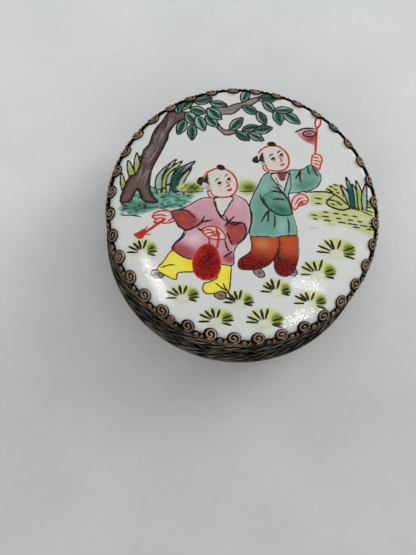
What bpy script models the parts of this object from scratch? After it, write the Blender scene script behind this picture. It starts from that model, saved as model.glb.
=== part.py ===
"""Round trinket box of tarnished metal, with a domed porcelain plaque held in its lid by a border of coils.

The box stands on z = 0 with its axis on the Z axis, and the plaque's picture has its top towards +Y.
Lengths are in metres and angles in radians, and a radius is measured from the box's axis.
"""

import math

import bmesh
import bpy
from mathutils import Vector

MM = 0.001
DEGREE = math.pi / 180

# The whole box
box_radius = 29.7 * MM  # of the foot plate, the widest part
clearance = 0.3 * MM  # left between pieces that touch
side_count = 48  # flat sides of every turned piece

# The foot wire and the lid wire
foot_wire_radius = 0.42 * MM
foot_wire_inset = 0.1 * MM  # from the foot plate's edge to the wire
lid_wire_radius = 0.42 * MM
lid_wire_lift = 0.12 * MM  # from the lid's lower edge to the wire
wire_side_count = 6

# The base cup
base_wall = 0.7 * MM
floor_thickness = 0.8 * MM
foot_plate_thickness = 0.55 * MM
foot_bevel = 0.2 * MM
sleeve_wall = 0.6 * MM
sleeve_rise = 2.8 * MM  # above the shoulder, inside the lid
sleeve_depth = 2.0 * MM  # below the shoulder

# The vine raised on the base cup
vine_waves = 15
vine_start = math.radians(0.4)  # turned a little, so that no bud stands right on an edge of the wall
vine_height = 4.7 * MM
vine_gap = 1.3 * MM  # plain wall above and below the vine
vine_bulge = 0.6 * MM  # how much wider a bend is than a plain wave's
vine_width = 1.1 * MM  # at its root
vine_crest_width = 0.4 * MM
vine_relief = 0.35 * MM
vine_sinking = 0.25 * MM  # how far the relief's root goes into the wall
vine_steps = 8  # in each wave
bud_share = 0.55  # a bud's width as a share of the vine's height
bud_gap = 0.4 * MM  # from a bud to the bend round it
bud_sides = 6

# The lid shell
lid_wall = 0.7 * MM
plate_thickness = 0.7 * MM
band_height = 1.5 * MM  # the raised band round the skirt
band_gap = 0.8 * MM  # plain skirt above and below the band
band_relief = 0.3 * MM

# The border of coils
border_wall = 0.4 * MM
border_lap = 1.35 * MM  # how far it reaches down beside the lid shell
border_overhang = 0.5 * MM  # how far the coils stand out past the border's wall
border_cover = 0.25 * MM  # from the wall's top edge up to the coils' faces
coil_count = 36
coil_diameter = 3.0 * MM
coil_thickness = 0.6 * MM
coil_lean = 50 * DEGREE  # a coil's slope over the plaque's edge
coil_wire_width = 0.46 * MM
coil_groove_width = 0.26 * MM
coil_groove_depth = 0.22 * MM
coil_sides = 8
joint_angle = 239 * DEGREE  # where the border's two ends meet
joint_room = 12.1 * DEGREE  # between the coils on either side of the joint
joint_coil_diameter = 1.7 * MM  # of the small plain coil beside the joint
joint_coil_gap = 0.06 * MM

# The porcelain plaque
plaque_play = 0.3 * MM  # between its edge and the border's wall
plaque_edge_height = 0.8 * MM
plaque_chamfer = 1.1 * MM  # how far in its sloping edge runs
dome_rise = 1.75 * MM  # from the sloping edge to the top
dome_power = 2.4  # above 2, the dome is flatter in the middle
dome_rings = 4
plaque_thickness = 2.4 * MM  # at its middle
seat_width = 2.4 * MM  # of the flat ring that it rests on

# What the sizes above give
foot_wire_top = foot_plate_thickness + clearance + 2 * foot_wire_radius
vine_middle = foot_wire_top + vine_gap + vine_height / 2
vine_swing = (vine_height - vine_width) / 2  # from the middle to a crest
bud_diameter = bud_share * vine_height
base_height = foot_wire_top + 2 * vine_gap + vine_height
base_radius = box_radius - foot_wire_inset - 2 * foot_wire_radius - clearance
lid_radius = base_radius
lid_bottom = base_height + clearance
band_bottom = lid_bottom + lid_wire_lift + 2 * lid_wire_radius + band_gap
band_top = band_bottom + band_height
border_bottom = band_top + band_gap
lid_top = border_bottom + border_lap
lid_inner_radius = lid_radius - lid_wall
sleeve_radius = lid_inner_radius - clearance
border_inner_radius = lid_radius + clearance
border_radius = border_inner_radius + border_wall
coil_end_radius = border_radius + border_overhang
plaque_radius = border_inner_radius - plaque_play
plaque_bottom = lid_top + clearance

# The coils' slope passes a clearance above the plaque's upper edge, and the border's wall ends just below it
coil_drop = (coil_thickness + clearance) / math.cos(coil_lean)
coil_run = (coil_end_radius - plaque_radius) * math.tan(coil_lean)
coil_end_height = plaque_bottom + plaque_edge_height + coil_drop - coil_run
border_top = coil_end_height + border_overhang * math.tan(coil_lean) - border_cover


def material(name, colour, roughness, metallic):
    made = bpy.data.materials.new(name)
    made.use_nodes = True
    shader = made.node_tree.nodes["Principled BSDF"]
    shader.inputs["Base Color"].default_value = (*colour, 1.0)
    shader.inputs["Roughness"].default_value = roughness
    shader.inputs["Metallic"].default_value = metallic
    return made


def add_object(name, bm, surface):
    """The bmesh as a finished object of this name, shaded smooth but for its sharp edges."""
    bmesh.ops.remove_doubles(bm, verts=bm.verts, dist=0.001 * MM)
    bmesh.ops.recalc_face_normals(bm, faces=bm.faces)
    mesh = bpy.data.meshes.new(name)
    bm.to_mesh(mesh)
    bm.free()
    mesh.shade_smooth()
    mesh.set_sharp_from_angle(angle=35 * DEGREE)
    mesh.materials.append(surface)
    made = bpy.data.objects.new(name, mesh)
    bpy.context.collection.objects.link(made)
    return made


def turned(name, profile, closed, surface):
    """A profile of (radius, height) points, turned once round the box's axis."""
    bm = bmesh.new()
    corners = [bm.verts.new((radius, 0, height)) for radius, height in profile]
    edges = [bm.edges.new(pair) for pair in zip(corners, corners[1:])]
    if closed:
        edges.append(bm.edges.new((corners[-1], corners[0])))
    bmesh.ops.spin(
        bm,
        geom=corners + edges,
        cent=(0, 0, 0),
        axis=(0, 0, 1),
        angle=2 * math.pi,
        steps=side_count,
        use_merge=True,
    )
    return add_object(name, bm, surface)


def ring_of_wire(name, wire_radius, ring_radius, height, surface):
    """A round wire bent into a ring. A corner of its section points outwards."""
    section = []
    for i in range(wire_side_count):
        angle = 2 * math.pi * i / wire_side_count
        section.append((ring_radius + wire_radius * math.cos(angle), height + wire_radius * math.sin(angle)))
    return turned(name, section, True, surface)


def joined_to(body, addition):
    """Joins a second object to a body for good, and leaves it as a hidden guide."""
    addition.hide_render = True
    addition.display_type = "WIRE"
    union = body.modifiers.new("joined", "BOOLEAN")
    union.operation = "UNION"
    union.object = addition


def loft(bm, sections, closed=False):
    """Skins sections that all have as many corners. The skin runs back to the first section, or ends are filled."""
    rows = [[bm.verts.new(corner) for corner in section] for section in sections]
    after = rows[1:]
    if closed:
        after = after + rows[:1]
    else:
        bm.faces.new(reversed(rows[0]))
        bm.faces.new(rows[-1])
    for row, next_row in zip(rows, after):
        for i in range(len(row)):
            j = (i + 1) % len(row)
            bm.faces.new((row[i], row[j], next_row[j], next_row[i]))


def on_wall(radius, along, height):
    """The point at this radius and height, and this far round the base's wall from the X axis."""
    angle = along / base_radius
    return Vector((radius * math.cos(angle), radius * math.sin(angle), height))


def vine_point(waves):
    """Where the vine's middle line is after this many waves, as (along, height)."""
    wave_length = 2 * math.pi * base_radius / vine_waves
    swing = 2 * math.pi * waves
    along = vine_start * base_radius + waves * wave_length - vine_bulge * math.sin(2 * swing)
    return along, vine_middle + vine_swing * math.sin(swing)


def vine_section(waves):
    """The vine's cross-section there, a ridge with its root inside the wall."""
    little = 0.001
    x, height = vine_point(waves)
    before, after = vine_point(waves - little), vine_point(waves + little)
    heading = math.atan2(after[1] - before[1], after[0] - before[0])
    corners = []
    for side, out in (
        (-vine_width / 2, -vine_sinking),
        (vine_width / 2, -vine_sinking),
        (vine_crest_width / 2, vine_relief),
        (-vine_crest_width / 2, vine_relief),
    ):
        along = x - side * math.sin(heading)
        corners.append(on_wall(base_radius + out, along, height + side * math.cos(heading)))
    return corners


def add_bud(bm, along, height):
    """A low round rosette on the wall, with its root inside it."""
    rows = []
    for radius, out in ((bud_diameter / 2, -vine_sinking), (bud_diameter / 4, vine_relief)):
        row = []
        for i in range(bud_sides):
            turn = 2 * math.pi * i / bud_sides
            row.append(on_wall(base_radius + out, along + radius * math.cos(turn), height + radius * math.sin(turn)))
        rows.append(row)
    loft(bm, rows)


def base_vine(surface):
    """The vine round the base cup, with a bud in each bend, as the loose shapes that are joined to it."""
    bm = bmesh.new()
    loft(bm, [vine_section(i / vine_steps) for i in range(vine_waves * vine_steps)], closed=True)
    bud_height = vine_swing - vine_width / 2 - bud_gap - bud_diameter / 2
    for i in range(2 * vine_waves):
        crest = i / 2 + 0.25
        way = 1 if i % 2 == 0 else -1
        add_bud(bm, vine_point(crest)[0], vine_middle + way * bud_height)
    return add_object("base_vine_relief", bm, surface)


def base_cup(surface):
    """The bottom half of the box: a flat floor whose edge stands out as a foot plate, a thin wall, and a sleeve
    that the lid slips over."""
    wall_inside = base_radius - base_wall
    sleeve_inside = sleeve_radius - sleeve_wall
    sleeve_step = wall_inside - sleeve_inside
    sleeve_foot = base_height - sleeve_depth
    return turned(
        "base_cup",
        [
            (0, 0),
            (box_radius - foot_bevel, 0),
            (box_radius, foot_bevel),
            (box_radius, foot_plate_thickness),
            (base_radius, foot_plate_thickness),
            (base_radius, base_height),
            (sleeve_radius, base_height),
            (sleeve_radius, base_height + sleeve_rise),
            (sleeve_inside, base_height + sleeve_rise),
            (sleeve_inside, sleeve_foot),
            (wall_inside, sleeve_foot - sleeve_step),
            (wall_inside, floor_thickness),
            (0, floor_thickness),
        ],
        False,
        surface,
    )


def lid_shell(surface):
    """The lid's metal: a skirt with one raised band, closed by the plate that carries the plaque."""
    return turned(
        "lid_shell",
        [
            (0, lid_top),
            (lid_radius, lid_top),
            (lid_radius, band_top + band_relief),
            (lid_radius + band_relief, band_top),
            (lid_radius + band_relief, band_bottom),
            (lid_radius, band_bottom - band_relief),
            (lid_radius, lid_bottom),
            (lid_inner_radius, lid_bottom),
            (lid_inner_radius, lid_top - plate_thickness),
            (0, lid_top - plate_thickness),
        ],
        False,
        surface,
    )


def porcelain_plaque(surface):
    """The domed plaque. Its sloping edge lies under the coils, and its underside is hollowed."""
    rim_radius = plaque_radius - plaque_chamfer
    edge = plaque_bottom + plaque_edge_height
    top = edge + plaque_chamfer * math.tan(coil_lean) + dome_rise
    profile = []
    for i in range(dome_rings + 1):
        share = math.sin(math.pi / 2 * i / dome_rings)
        profile.append((rim_radius * share, top - dome_rise * share**dome_power))
    profile += [
        (plaque_radius, edge),
        (plaque_radius, plaque_bottom),
        (plaque_radius - seat_width, plaque_bottom),
        (0, top - plaque_thickness),
    ]
    return turned("porcelain_plaque", profile, False, surface)


def on_slope(angle, up, across, out):
    """A point on the slope of the coils at this angle round the box: up the slope from the coils' outer ends,
    across it, and out from its face."""
    radius = coil_end_radius - up * math.cos(coil_lean) + out * math.sin(coil_lean)
    height = coil_end_height + up * math.sin(coil_lean) + out * math.cos(coil_lean)
    outwards = Vector((math.cos(angle), math.sin(angle), 0))
    along = Vector((-math.sin(angle), math.cos(angle), 0))
    return outwards * radius + along * across + Vector((0, 0, height))


def add_disc(bm, angle, diameter, rings):
    """A disc that lies on the slope, with these (radius, out) rings from its underside to its middle."""
    rows = []
    for radius, out in rings:
        row = []
        for i in range(coil_sides):
            turn = 2 * math.pi * i / coil_sides
            row.append(on_slope(angle, diameter / 2 + radius * math.cos(turn), radius * math.sin(turn), out))
        rows.append(row)
    loft(bm, rows)


def border_coils(surface):
    """The coils, as the loose discs that are joined to the border's wall. Each is one turn of flat wire round its
    small round end, with a groove between them. A small plain one stands beside the joint."""
    bm = bmesh.new()
    outer = coil_diameter / 2
    inner = outer - coil_wire_width
    end = inner - coil_groove_width
    rings = [(outer, -coil_thickness), (outer, 0), (inner, 0), (end, -coil_groove_depth), (end / 2, 0)]
    plain_rings = [(joint_coil_diameter / 2, -coil_thickness), (joint_coil_diameter / 2, 0)]
    pitch = (2 * math.pi - joint_room) / (coil_count - 1)
    first = joint_angle + joint_room / 2
    for i in range(coil_count):
        add_disc(bm, first + i * pitch, coil_diameter, rings)
    last = first + (coil_count - 1) * pitch
    beside = (coil_diameter + joint_coil_diameter) / 2 + joint_coil_gap
    add_disc(bm, last + beside / (coil_end_radius - coil_diameter), joint_coil_diameter, plain_rings)
    return add_object("border_coil_discs", bm, surface)


def scroll_border(surface):
    """The strip soldered round the lid's top, whose coils fold over the plaque's edge and hold it."""
    return turned(
        "scroll_border",
        [
            (border_inner_radius, border_bottom),
            (border_radius, border_bottom),
            (border_radius, border_top),
            (border_inner_radius, border_top),
        ],
        True,
        surface,
    )


def make_box():
    for old in list(bpy.data.objects):
        bpy.data.objects.remove(old, do_unlink=True)

    dark_metal = material("dark_metal", (0.075, 0.066, 0.055), 0.45, 1.0)
    scroll_metal = material("scroll_metal", (0.33, 0.27, 0.22), 0.38, 1.0)
    wire_metal = material("wire_metal", (0.16, 0.14, 0.115), 0.4, 1.0)
    porcelain = material("porcelain", (0.82, 0.82, 0.8), 0.12, 0.0)

    cup = base_cup(dark_metal)
    joined_to(cup, base_vine(dark_metal))
    lid_shell(dark_metal)
    porcelain_plaque(porcelain)
    border = scroll_border(scroll_metal)
    joined_to(border, border_coils(scroll_metal))
    ring_of_wire(
        "foot_wire",
        foot_wire_radius,
        base_radius + clearance + foot_wire_radius,
        foot_plate_thickness + clearance + foot_wire_radius,
        wire_metal,
    )
    ring_of_wire(
        "lid_wire",
        lid_wire_radius,
        lid_radius + clearance + lid_wire_radius,
        lid_bottom + lid_wire_lift + lid_wire_radius,
        wire_metal,
    )


make_box()
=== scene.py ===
# %% [markdown]
# # A trinket box with a painted porcelain lid
#
# This lesson dresses a small round box: a cup and a lid of tarnished metal, a twisted wire round each, a
# border of wire coils, and a domed porcelain plaque with a painted picture.
# The plain solids of the box are loaded first. They are the frame: each new piece is built over one of
# them, in the same place and at the same size, and then stands for it.

# %% Load the frame
import math

import bmesh
import bpy
import numpy as np
from mathutils import Matrix, Vector


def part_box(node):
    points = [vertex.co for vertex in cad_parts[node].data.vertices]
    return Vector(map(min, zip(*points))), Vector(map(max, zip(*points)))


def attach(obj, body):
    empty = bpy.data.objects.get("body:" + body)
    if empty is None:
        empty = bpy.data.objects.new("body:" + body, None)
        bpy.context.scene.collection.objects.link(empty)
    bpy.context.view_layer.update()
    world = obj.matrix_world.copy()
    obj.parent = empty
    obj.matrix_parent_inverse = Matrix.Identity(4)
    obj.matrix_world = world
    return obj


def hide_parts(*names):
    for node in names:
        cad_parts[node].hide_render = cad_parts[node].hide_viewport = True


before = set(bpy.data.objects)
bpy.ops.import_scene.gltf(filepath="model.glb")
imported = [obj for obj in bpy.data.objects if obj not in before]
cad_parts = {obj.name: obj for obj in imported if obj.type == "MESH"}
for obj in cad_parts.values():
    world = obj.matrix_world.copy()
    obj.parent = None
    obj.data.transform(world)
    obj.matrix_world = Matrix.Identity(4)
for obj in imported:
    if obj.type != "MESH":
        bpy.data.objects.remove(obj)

MM = 0.001
DEGREE = math.pi / 180
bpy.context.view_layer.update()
print("nodes in the frame:", ", ".join(sorted(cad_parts)))

# %% [markdown]
# ## Sizes that come from the frame
#
# A box like this is made of turned pieces that fit over each other, so a few radii and heights fix all of
# it. They are read from the frame's corners. Only what the corners can't tell, such as the thickness of a
# wall, is written here as a number of its own. In the frame each wire is a ring of six-sided section, so
# its top lies a little lower than a round wire's. That is `ring_flat`.

# %% Radii and heights
clearance = 0.3 * MM
ring_flat = 0.056 * MM
box_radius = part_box("base_cup")[1].x
sleeve_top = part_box("base_cup")[1].z
foot_wire_low, foot_wire_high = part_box("foot_wire")
lid_wire_low, lid_wire_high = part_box("lid_wire")
shell_low, shell_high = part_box("lid_shell")
plaque_low, plaque_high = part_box("porcelain_plaque")
border_low, border_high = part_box("scroll_border")

shoulder_height = shell_low.z - clearance
band_relief = 0.3 * MM
wall_radius = shell_high.x - band_relief
wire_radius = 0.42 * MM
border_inner_radius = wall_radius + clearance
print("box", round(2 * box_radius / MM, 1), "mm wide and", round(border_high.z / MM, 1), "mm high at its rim")

# %% [markdown]
# ## The camera
#
# The picture is taken from above and a little towards the viewer, so that the lid is nearly round and a
# thin crescent of the box's side shows at the lower left. Where the camera stands was found by matching
# the outline of the lid and the places of its coils.

# %% Camera
def add_object(name, data):
    """A new object of the scene that shows this data."""
    made = bpy.data.objects.new(name, data)
    bpy.context.scene.collection.objects.link(made)
    return made


camera_data = bpy.data.cameras.new("camera")
camera_data.sensor_width = 36.0
camera_data.lens = 58.4
camera = add_object("camera", camera_data)
camera.location = (-20.1 * MM, -71.7 * MM, 194.4 * MM)
camera.rotation_euler = (17.57 * DEGREE, -3.88 * DEGREE, -0.29 * DEGREE)
bpy.context.scene.camera = camera
bpy.context.scene.view_settings.view_transform = "Standard"
print("camera", [round(c / MM, 1) for c in camera.location], "mm")

# %% [markdown]
# ## Making a piece from a bmesh
#
# Every piece ends in the same way: its doubles are merged, its faces are turned outwards, it is shaded
# smooth between its sharp edges, and it rides on the box. So that is one function.
#
# Old metal is bright where it is rubbed and black where no cloth reaches. Each metal piece therefore
# carries a number at every point, `wear`, from 0 in a recess to 1 on a crest, and the metals read it. The
# dark discs under the coils get a low `wear` too, which paints shade into the coils' gaps and round their
# edges.

# %% Finish a piece
merge_distance = 0.0005 * MM


def mesh_from(name, bm):
    """The bmesh as a mesh of its own. The bmesh is freed."""
    mesh = bpy.data.meshes.new(name)
    bm.to_mesh(mesh)
    bm.free()
    return mesh


def finish_piece(name, bm, material, nodes, sharp, merge=merge_distance):
    """The bmesh as a piece that stands for these nodes. Edges past the angle sharp aren't shaded smooth."""
    bmesh.ops.remove_doubles(bm, verts=bm.verts, dist=merge)
    bmesh.ops.recalc_face_normals(bm, faces=bm.faces)
    mesh = mesh_from(name, bm)
    mesh.shade_smooth()
    mesh.set_sharp_from_angle(angle=sharp)
    mesh.materials.append(material)
    piece = add_object(name, mesh)
    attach(piece, "root")
    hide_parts(*nodes)
    print(name, len(mesh.polygons), "faces")
    return piece


def points_of(mesh):
    places = np.empty(len(mesh.vertices) * 3)
    mesh.vertices.foreach_get("co", places)
    return places.reshape(-1, 3)


def move_points(mesh, places):
    mesh.vertices.foreach_set("co", places.ravel())
    mesh.update()


def note_wear(piece, wear):
    layer = piece.data.attributes.new("wear", "FLOAT", "POINT")
    layer.data.foreach_set("value", np.clip(wear, 0, 1).astype(np.float32))


print("points closer than", merge_distance / MM, "mm are merged")

# %% [markdown]
# ## Turning a profile
#
# A cup, a lid and a ring are all turned round one axis. A profile of (radius, height) points is drawn as
# a chain of edges, and spin sweeps it round. A full turn merges its last row with its first.

# %% Turn a profile
def turn_profile(profile, steps, closed=False):
    bm = bmesh.new()
    corners = [bm.verts.new((radius, 0, height)) for radius, height in profile]
    edges = [bm.edges.new(pair) for pair in zip(corners, corners[1:])]
    if closed:
        edges.append(bm.edges.new((corners[-1], corners[0])))
    bmesh.ops.spin(
        bm,
        geom=corners + edges,
        cent=(0, 0, 0),
        axis=(0, 0, 1),
        angle=2 * math.pi,
        steps=steps,
        use_merge=True,
    )
    return bm


trial = turn_profile([(1, 0), (1, 1)], 12)
print("a straight profile turned in 12 steps has", len(trial.faces), "faces")
trial.free()

# %% [markdown]
# ## Tarnished metal
#
# All the metal is one thin silver plating over brass, gone brown and black. The material mixes a dark and
# a bright tarnish by the piece's `wear`. A soft cloudy noise shifts that mix, so that no stretch is even,
# a second noise lets a little brass show through, and a fine one gives the surface its grain.

# %% Materials and their nodes
def new_material(name):
    """A new material, its node tree and its shader."""
    made = bpy.data.materials.new(name)
    made.use_nodes = True
    return made, made.node_tree, made.node_tree.nodes["Principled BSDF"]


def add_node(tree, kind, links=(), **settings):
    """A node with its settings, and each (input, socket or value) of links set or joined."""
    made = tree.nodes.new(kind)
    for key, value in settings.items():
        setattr(made, key, value)
    for name, source in links:
        if isinstance(source, bpy.types.NodeSocket):
            tree.links.new(source, made.inputs[name])
        else:
            made.inputs[name].default_value = source
    return made


def add_noise(tree, place, size, detail=3.0, roughness=0.6):
    """A noise whose blotches are about this size, in metres."""
    node = add_node(
        tree, "ShaderNodeTexNoise",
        [("Vector", place), ("Scale", 1 / size), ("Detail", detail), ("Roughness", roughness)],
    )
    return node.outputs["Fac"]


def add_range(tree, value, low, high, new_low=0.0, new_high=1.0, smooth=True):
    node = add_node(
        tree, "ShaderNodeMapRange",
        [("Value", value), ("From Min", low), ("From Max", high), ("To Min", new_low), ("To Max", new_high)],
        interpolation_type="SMOOTHSTEP" if smooth else "LINEAR",
    )
    return node.outputs["Result"]


def add_mix(tree, share, first, second, blend="MIX"):
    """A mix of two colours. The node keeps its colours in inputs 6 and 7 and its result in output 2."""
    node = add_node(
        tree, "ShaderNodeMix",
        [(0, share), (6, first), (7, second)],
        data_type="RGBA", blend_type=blend,
    )
    return node.outputs[2]


def add_math(tree, operation, first, second):
    node = add_node(tree, "ShaderNodeMath", [(0, first), (1, second)], operation=operation)
    return node.outputs[0]


def object_place(tree):
    """The place on the piece, in metres, for a noise to read."""
    return add_node(tree, "ShaderNodeTexCoord").outputs["Object"]


print("blotches of 1 mm need a noise scale of", round(1 / MM))

# %% Tarnished metal
def tarnished_metal(name, dark, bright, brassy, roughness, brass_share, edge_tint=(0.3, 0.27, 0.22)):
    made, tree, shader = new_material(name)
    place = object_place(tree)
    wear = add_node(tree, "ShaderNodeAttribute", attribute_name="wear").outputs["Fac"]
    clouds = add_noise(tree, place, 3.5 * MM, detail=5.0)
    patches = add_noise(tree, place, 7 * MM, detail=2.0)
    grain = add_noise(tree, place, 0.22 * MM, detail=3.0, roughness=0.7)

    shifted = add_math(tree, "ADD", wear, add_range(tree, clouds, 0.3, 0.7, -0.22, 0.22))
    speckled = add_math(tree, "ADD", shifted, add_range(tree, grain, 0.3, 0.7, -0.12, 0.12))
    polish = add_range(tree, speckled, 0.12, 0.95)
    brass = add_range(tree, patches, 0.5, 0.68, 0.0, brass_share)
    wear_and_shade = add_mix(tree, brass, (*bright, 1), (*brassy, 1))
    colour = add_mix(tree, polish, (*dark, 1), wear_and_shade)
    tree.links.new(colour, shader.inputs["Base Color"])
    shader.inputs["Metallic"].default_value = 1.0
    shader.inputs["Specular Tint"].default_value = (*edge_tint, 1)

    dull = add_range(tree, polish, 0.0, 1.0, roughness + 0.2, roughness)
    grainy = add_math(tree, "ADD", dull, add_range(tree, grain, 0.3, 0.7, -0.06, 0.08))
    tree.links.new(grainy, shader.inputs["Roughness"])
    bump = add_node(
        tree, "ShaderNodeBump",
        [("Height", grain), ("Strength", 0.35), ("Distance", 0.03 * MM)],
    )
    tree.links.new(bump.outputs["Normal"], shader.inputs["Normal"])
    return made


near_black = (0.004, 0.0035, 0.003)
dark_metal = tarnished_metal(
    "dark_metal", near_black, (0.14, 0.12, 0.095), (0.13, 0.1, 0.03), roughness=0.42, brass_share=0.5)
wire_metal = tarnished_metal(
    "wire_metal", near_black, (0.24, 0.22, 0.195), (0.15, 0.12, 0.04), roughness=0.32, brass_share=0.4)
scroll_metal = tarnished_metal(
    "scroll_metal", (0.014, 0.009, 0.006), (0.3, 0.218, 0.165), (0.25, 0.18, 0.08),
    roughness=0.36, brass_share=0.5, edge_tint=(0.4, 0.33, 0.26))
print("metals:", dark_metal.name, wire_metal.name, scroll_metal.name)

# %% [markdown]
# ## Measuring distances to a drawn line
#
# Both the embossed vine on the base and the painted picture are drawings: lines and outlined shapes. A
# drawing is laid on a fine mesh by asking, for every point of the mesh, how far it is from the line. So
# the two share these helpers. `smooth_path` leads a smooth curve through a few chosen points, and
# `measure` finds the mesh points near a path and how far off they are.

# %% Smooth paths and distances
def smooth_path(points, closed=False, steps=6):
    """A smooth curve through the points, as an array of points along it (a Catmull-Rom curve)."""
    p = np.asarray(points, float)
    if closed:
        p = np.vstack([p[-1:], p, p[:2]])
    else:
        p = np.vstack([2 * p[0] - p[1], p, 2 * p[-1] - p[-2]])
    t = (np.arange(steps) / steps)[:, None]
    stretches = []
    for a, b, c, d in zip(p, p[1:], p[2:], p[3:]):
        bend = (2 * a - 5 * b + 4 * c - d) * t**2 + (3 * b - 3 * c + d - a) * t**3
        stretches.append(b + ((c - a) * t + bend) / 2)
    if not closed:
        stretches.append(p[-2:-1])
    return np.vstack(stretches)


def measure(plan, path, closed, reach):
    """For the plan's points within reach of the path: their numbers, their distance from it, how far along
    it they are, from 0 to 1, and whether it goes round them."""
    low = path.min(axis=0) - reach
    high = path.max(axis=0) + reach
    near = np.flatnonzero(np.all((plan > low) & (plan < high), axis=1))
    start = path if closed else path[:-1]
    end = np.roll(path, -1, axis=0) if closed else path[1:]
    run = end - start
    away = plan[near, None, :] - start
    share = np.clip((away * run).sum(axis=2) / (run * run).sum(axis=1), 0, 1)
    off = away - share[..., None] * run
    distance = np.hypot(off[..., 0], off[..., 1])
    closest = distance.argmin(axis=1)
    row = np.arange(len(near))
    along = (closest + share[row, closest]) / len(start)
    crosses = (start[:, 1] > plan[near, None, 1]) != (end[:, 1] > plan[near, None, 1])
    climb = np.where(run[:, 1] == 0, 1, run[:, 1])
    crossing = start[:, 0] + (plan[near, None, 1] - start[:, 1]) * run[:, 0] / climb
    inside = (crosses & (plan[near, None, 0] < crossing)).sum(axis=1) % 2 == 1
    return near, distance[row, closest], along, inside


print("a smooth path through 4 points has", len(smooth_path([(0, 0), (1, 0), (1, 1), (0, 1)])), "points")

# %% [markdown]
# ## The base cup
#
# The cup is thin sheet with a flat floor, a foot plate that stands out below, and a sleeve inside that
# the lid slips over. Its wall is embossed with a running vine whose tendrils curl round a bud in each
# bend. Embossing is relief in the sheet itself, so the wall gets a close net of points, and the points
# under the drawing move outwards. The drawing is one wave of the vine, repeated round the wall. Its own
# sizes are plain numbers, in mm.

# %% One wave of the vine
vine_waves = 15
vine_start = 0.4 * DEGREE
vine_height = 4.7
vine_gap = 1.3
vine_stem_width = 0.95
vine_bulge = 0.6
tendril_width = 0.62
bud_radius = 0.46
vine_relief = 0.35
stem_margin = 0.55
vine_middle = (foot_wire_high.z + ring_flat) / MM + vine_gap + vine_height / 2
vine_swing = vine_height / 2 - stem_margin
wave_length = 2 * math.pi * wall_radius / MM / vine_waves


def vine_stem(first, last, steps=24):
    """The stem's middle line from one wave to another, as (along, up) in mm from the vine's middle."""
    waves = np.linspace(first, last, int((last - first) * steps) + 1)
    swing = 2 * math.pi * waves
    return np.column_stack([waves * wave_length - vine_bulge * np.sin(2 * swing), vine_swing * np.sin(swing)])


tendril_points = [(-2.75, -0.1), (-2.1, -1.2), (-0.95, -1.8), (0.35, -1.72), (1.2, -0.95), (1.2, 0.1),
                  (0.45, 0.75), (-0.45, 0.55), (-0.75, -0.2), (-0.3, -0.8)]
leaf_points = [(1.55, 0.95), (2.25, 0.55), (2.75, -0.15)]


def ridge(distance, width, height):
    """A rounded ridge's height at this distance from its middle line."""
    return height * np.sqrt(np.clip(1 - (2 * distance / width) ** 2, 0, 1))


def vine_height_at(plan):
    """The relief, in mm, at each (along, up) point of one wave."""
    relief = np.zeros(len(plan))

    def raise_line(path, width, height):
        near, distance, along, _ = measure(plan, path, False, width)
        relief[near] = np.maximum(relief[near], ridge(distance, width, height))

    raise_line(vine_stem(-0.5, 1.5), vine_stem_width, vine_relief)
    for bend in range(-1, 4):
        way = 1 if bend % 2 == 0 else -1
        middle = (bend / 2 + 0.25) * wave_length
        for points, width, height in ((tendril_points, tendril_width, 0.8), (leaf_points, 0.8, 0.6)):
            path = smooth_path([(middle + x, way * y) for x, y in points])
            raise_line(path, width, height * vine_relief)
        bud = np.hypot(plan[:, 0] - middle - 0.15, plan[:, 1] + 0.25 * way)
        relief[:] = np.maximum(relief, ridge(bud, 2 * bud_radius, vine_relief))
    return relief


print("a wave of the vine is", round(wave_length, 2), "mm long")

# %% Turn the cup
base_wall = 0.7 * MM
floor_thickness = 0.8 * MM
foot_plate_thickness = 0.55 * MM
sleeve_wall = 0.6 * MM
sleeve_depth = 2.0 * MM
foot_round = 0.2 * MM
sheet_edge = 0.1 * MM
shoulder_edge = 0.08 * MM
corner_round = 0.3 * MM
columns = 96 * vine_waves
vine_rows = 36
wall_inside = wall_radius - base_wall
sleeve_radius = wall_inside - clearance
sleeve_inside = sleeve_radius - sleeve_wall
vine_low = (vine_middle - vine_height / 2) * MM
vine_high = (vine_middle + vine_height / 2) * MM
bead = 0.22 * MM
bead_gap = 0.55 * MM

wall_rows = [(wall_radius, vine_low + (vine_high - vine_low) * i / vine_rows) for i in range(vine_rows + 1)]


def bead_round(radius, height, size, steps=4):
    """A half-round moulding on an upright wall, going up."""
    arc = []
    for i in range(steps + 1):
        angle = math.pi * (i / steps - 0.5)
        arc.append((radius + size * math.cos(angle), height + size * math.sin(angle)))
    return arc


cup_profile = (
    [(0, 0), (box_radius - foot_round, 0)]
    + [(box_radius - 0.25 * foot_round, 0.3 * foot_round), (box_radius, foot_round)]
    + [(box_radius, foot_plate_thickness - sheet_edge), (box_radius - sheet_edge, foot_plate_thickness)]
    + [(wall_radius, foot_plate_thickness)]
    + bead_round(wall_radius, vine_low - bead_gap, bead)
    + wall_rows
    + bead_round(wall_radius, vine_high + bead_gap, bead)
    + [(wall_radius, shoulder_height - shoulder_edge), (wall_radius - shoulder_edge, shoulder_height)]
    + [(sleeve_radius, shoulder_height), (sleeve_radius, sleeve_top - sheet_edge)]
    + [(sleeve_radius - sheet_edge, sleeve_top), (sleeve_inside + sheet_edge, sleeve_top)]
    + [(sleeve_inside, sleeve_top - sheet_edge), (sleeve_inside, shoulder_height - sleeve_depth)]
    + [(wall_inside, shoulder_height - sleeve_depth - (wall_inside - sleeve_inside))]
    + [(wall_inside, floor_thickness + corner_round), (wall_inside - corner_round, floor_thickness)]
    + [(0, floor_thickness)]
)
base = finish_piece("embossed_base", turn_profile(cup_profile, columns), dark_metal,
                    ["base_cup"], sharp=50 * DEGREE)

# %% Emboss the wall
near_enough = 0.01 * MM


def relief_wear(places, relief):
    """Bright where the sheet is raised by its full relief, dark on the plain wall, dull inside."""
    raised = np.hypot(places[:, 0], places[:, 1]) - wall_radius
    return np.where(raised > -near_enough, 0.08 + 0.8 * raised / relief, 0.3)


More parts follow.
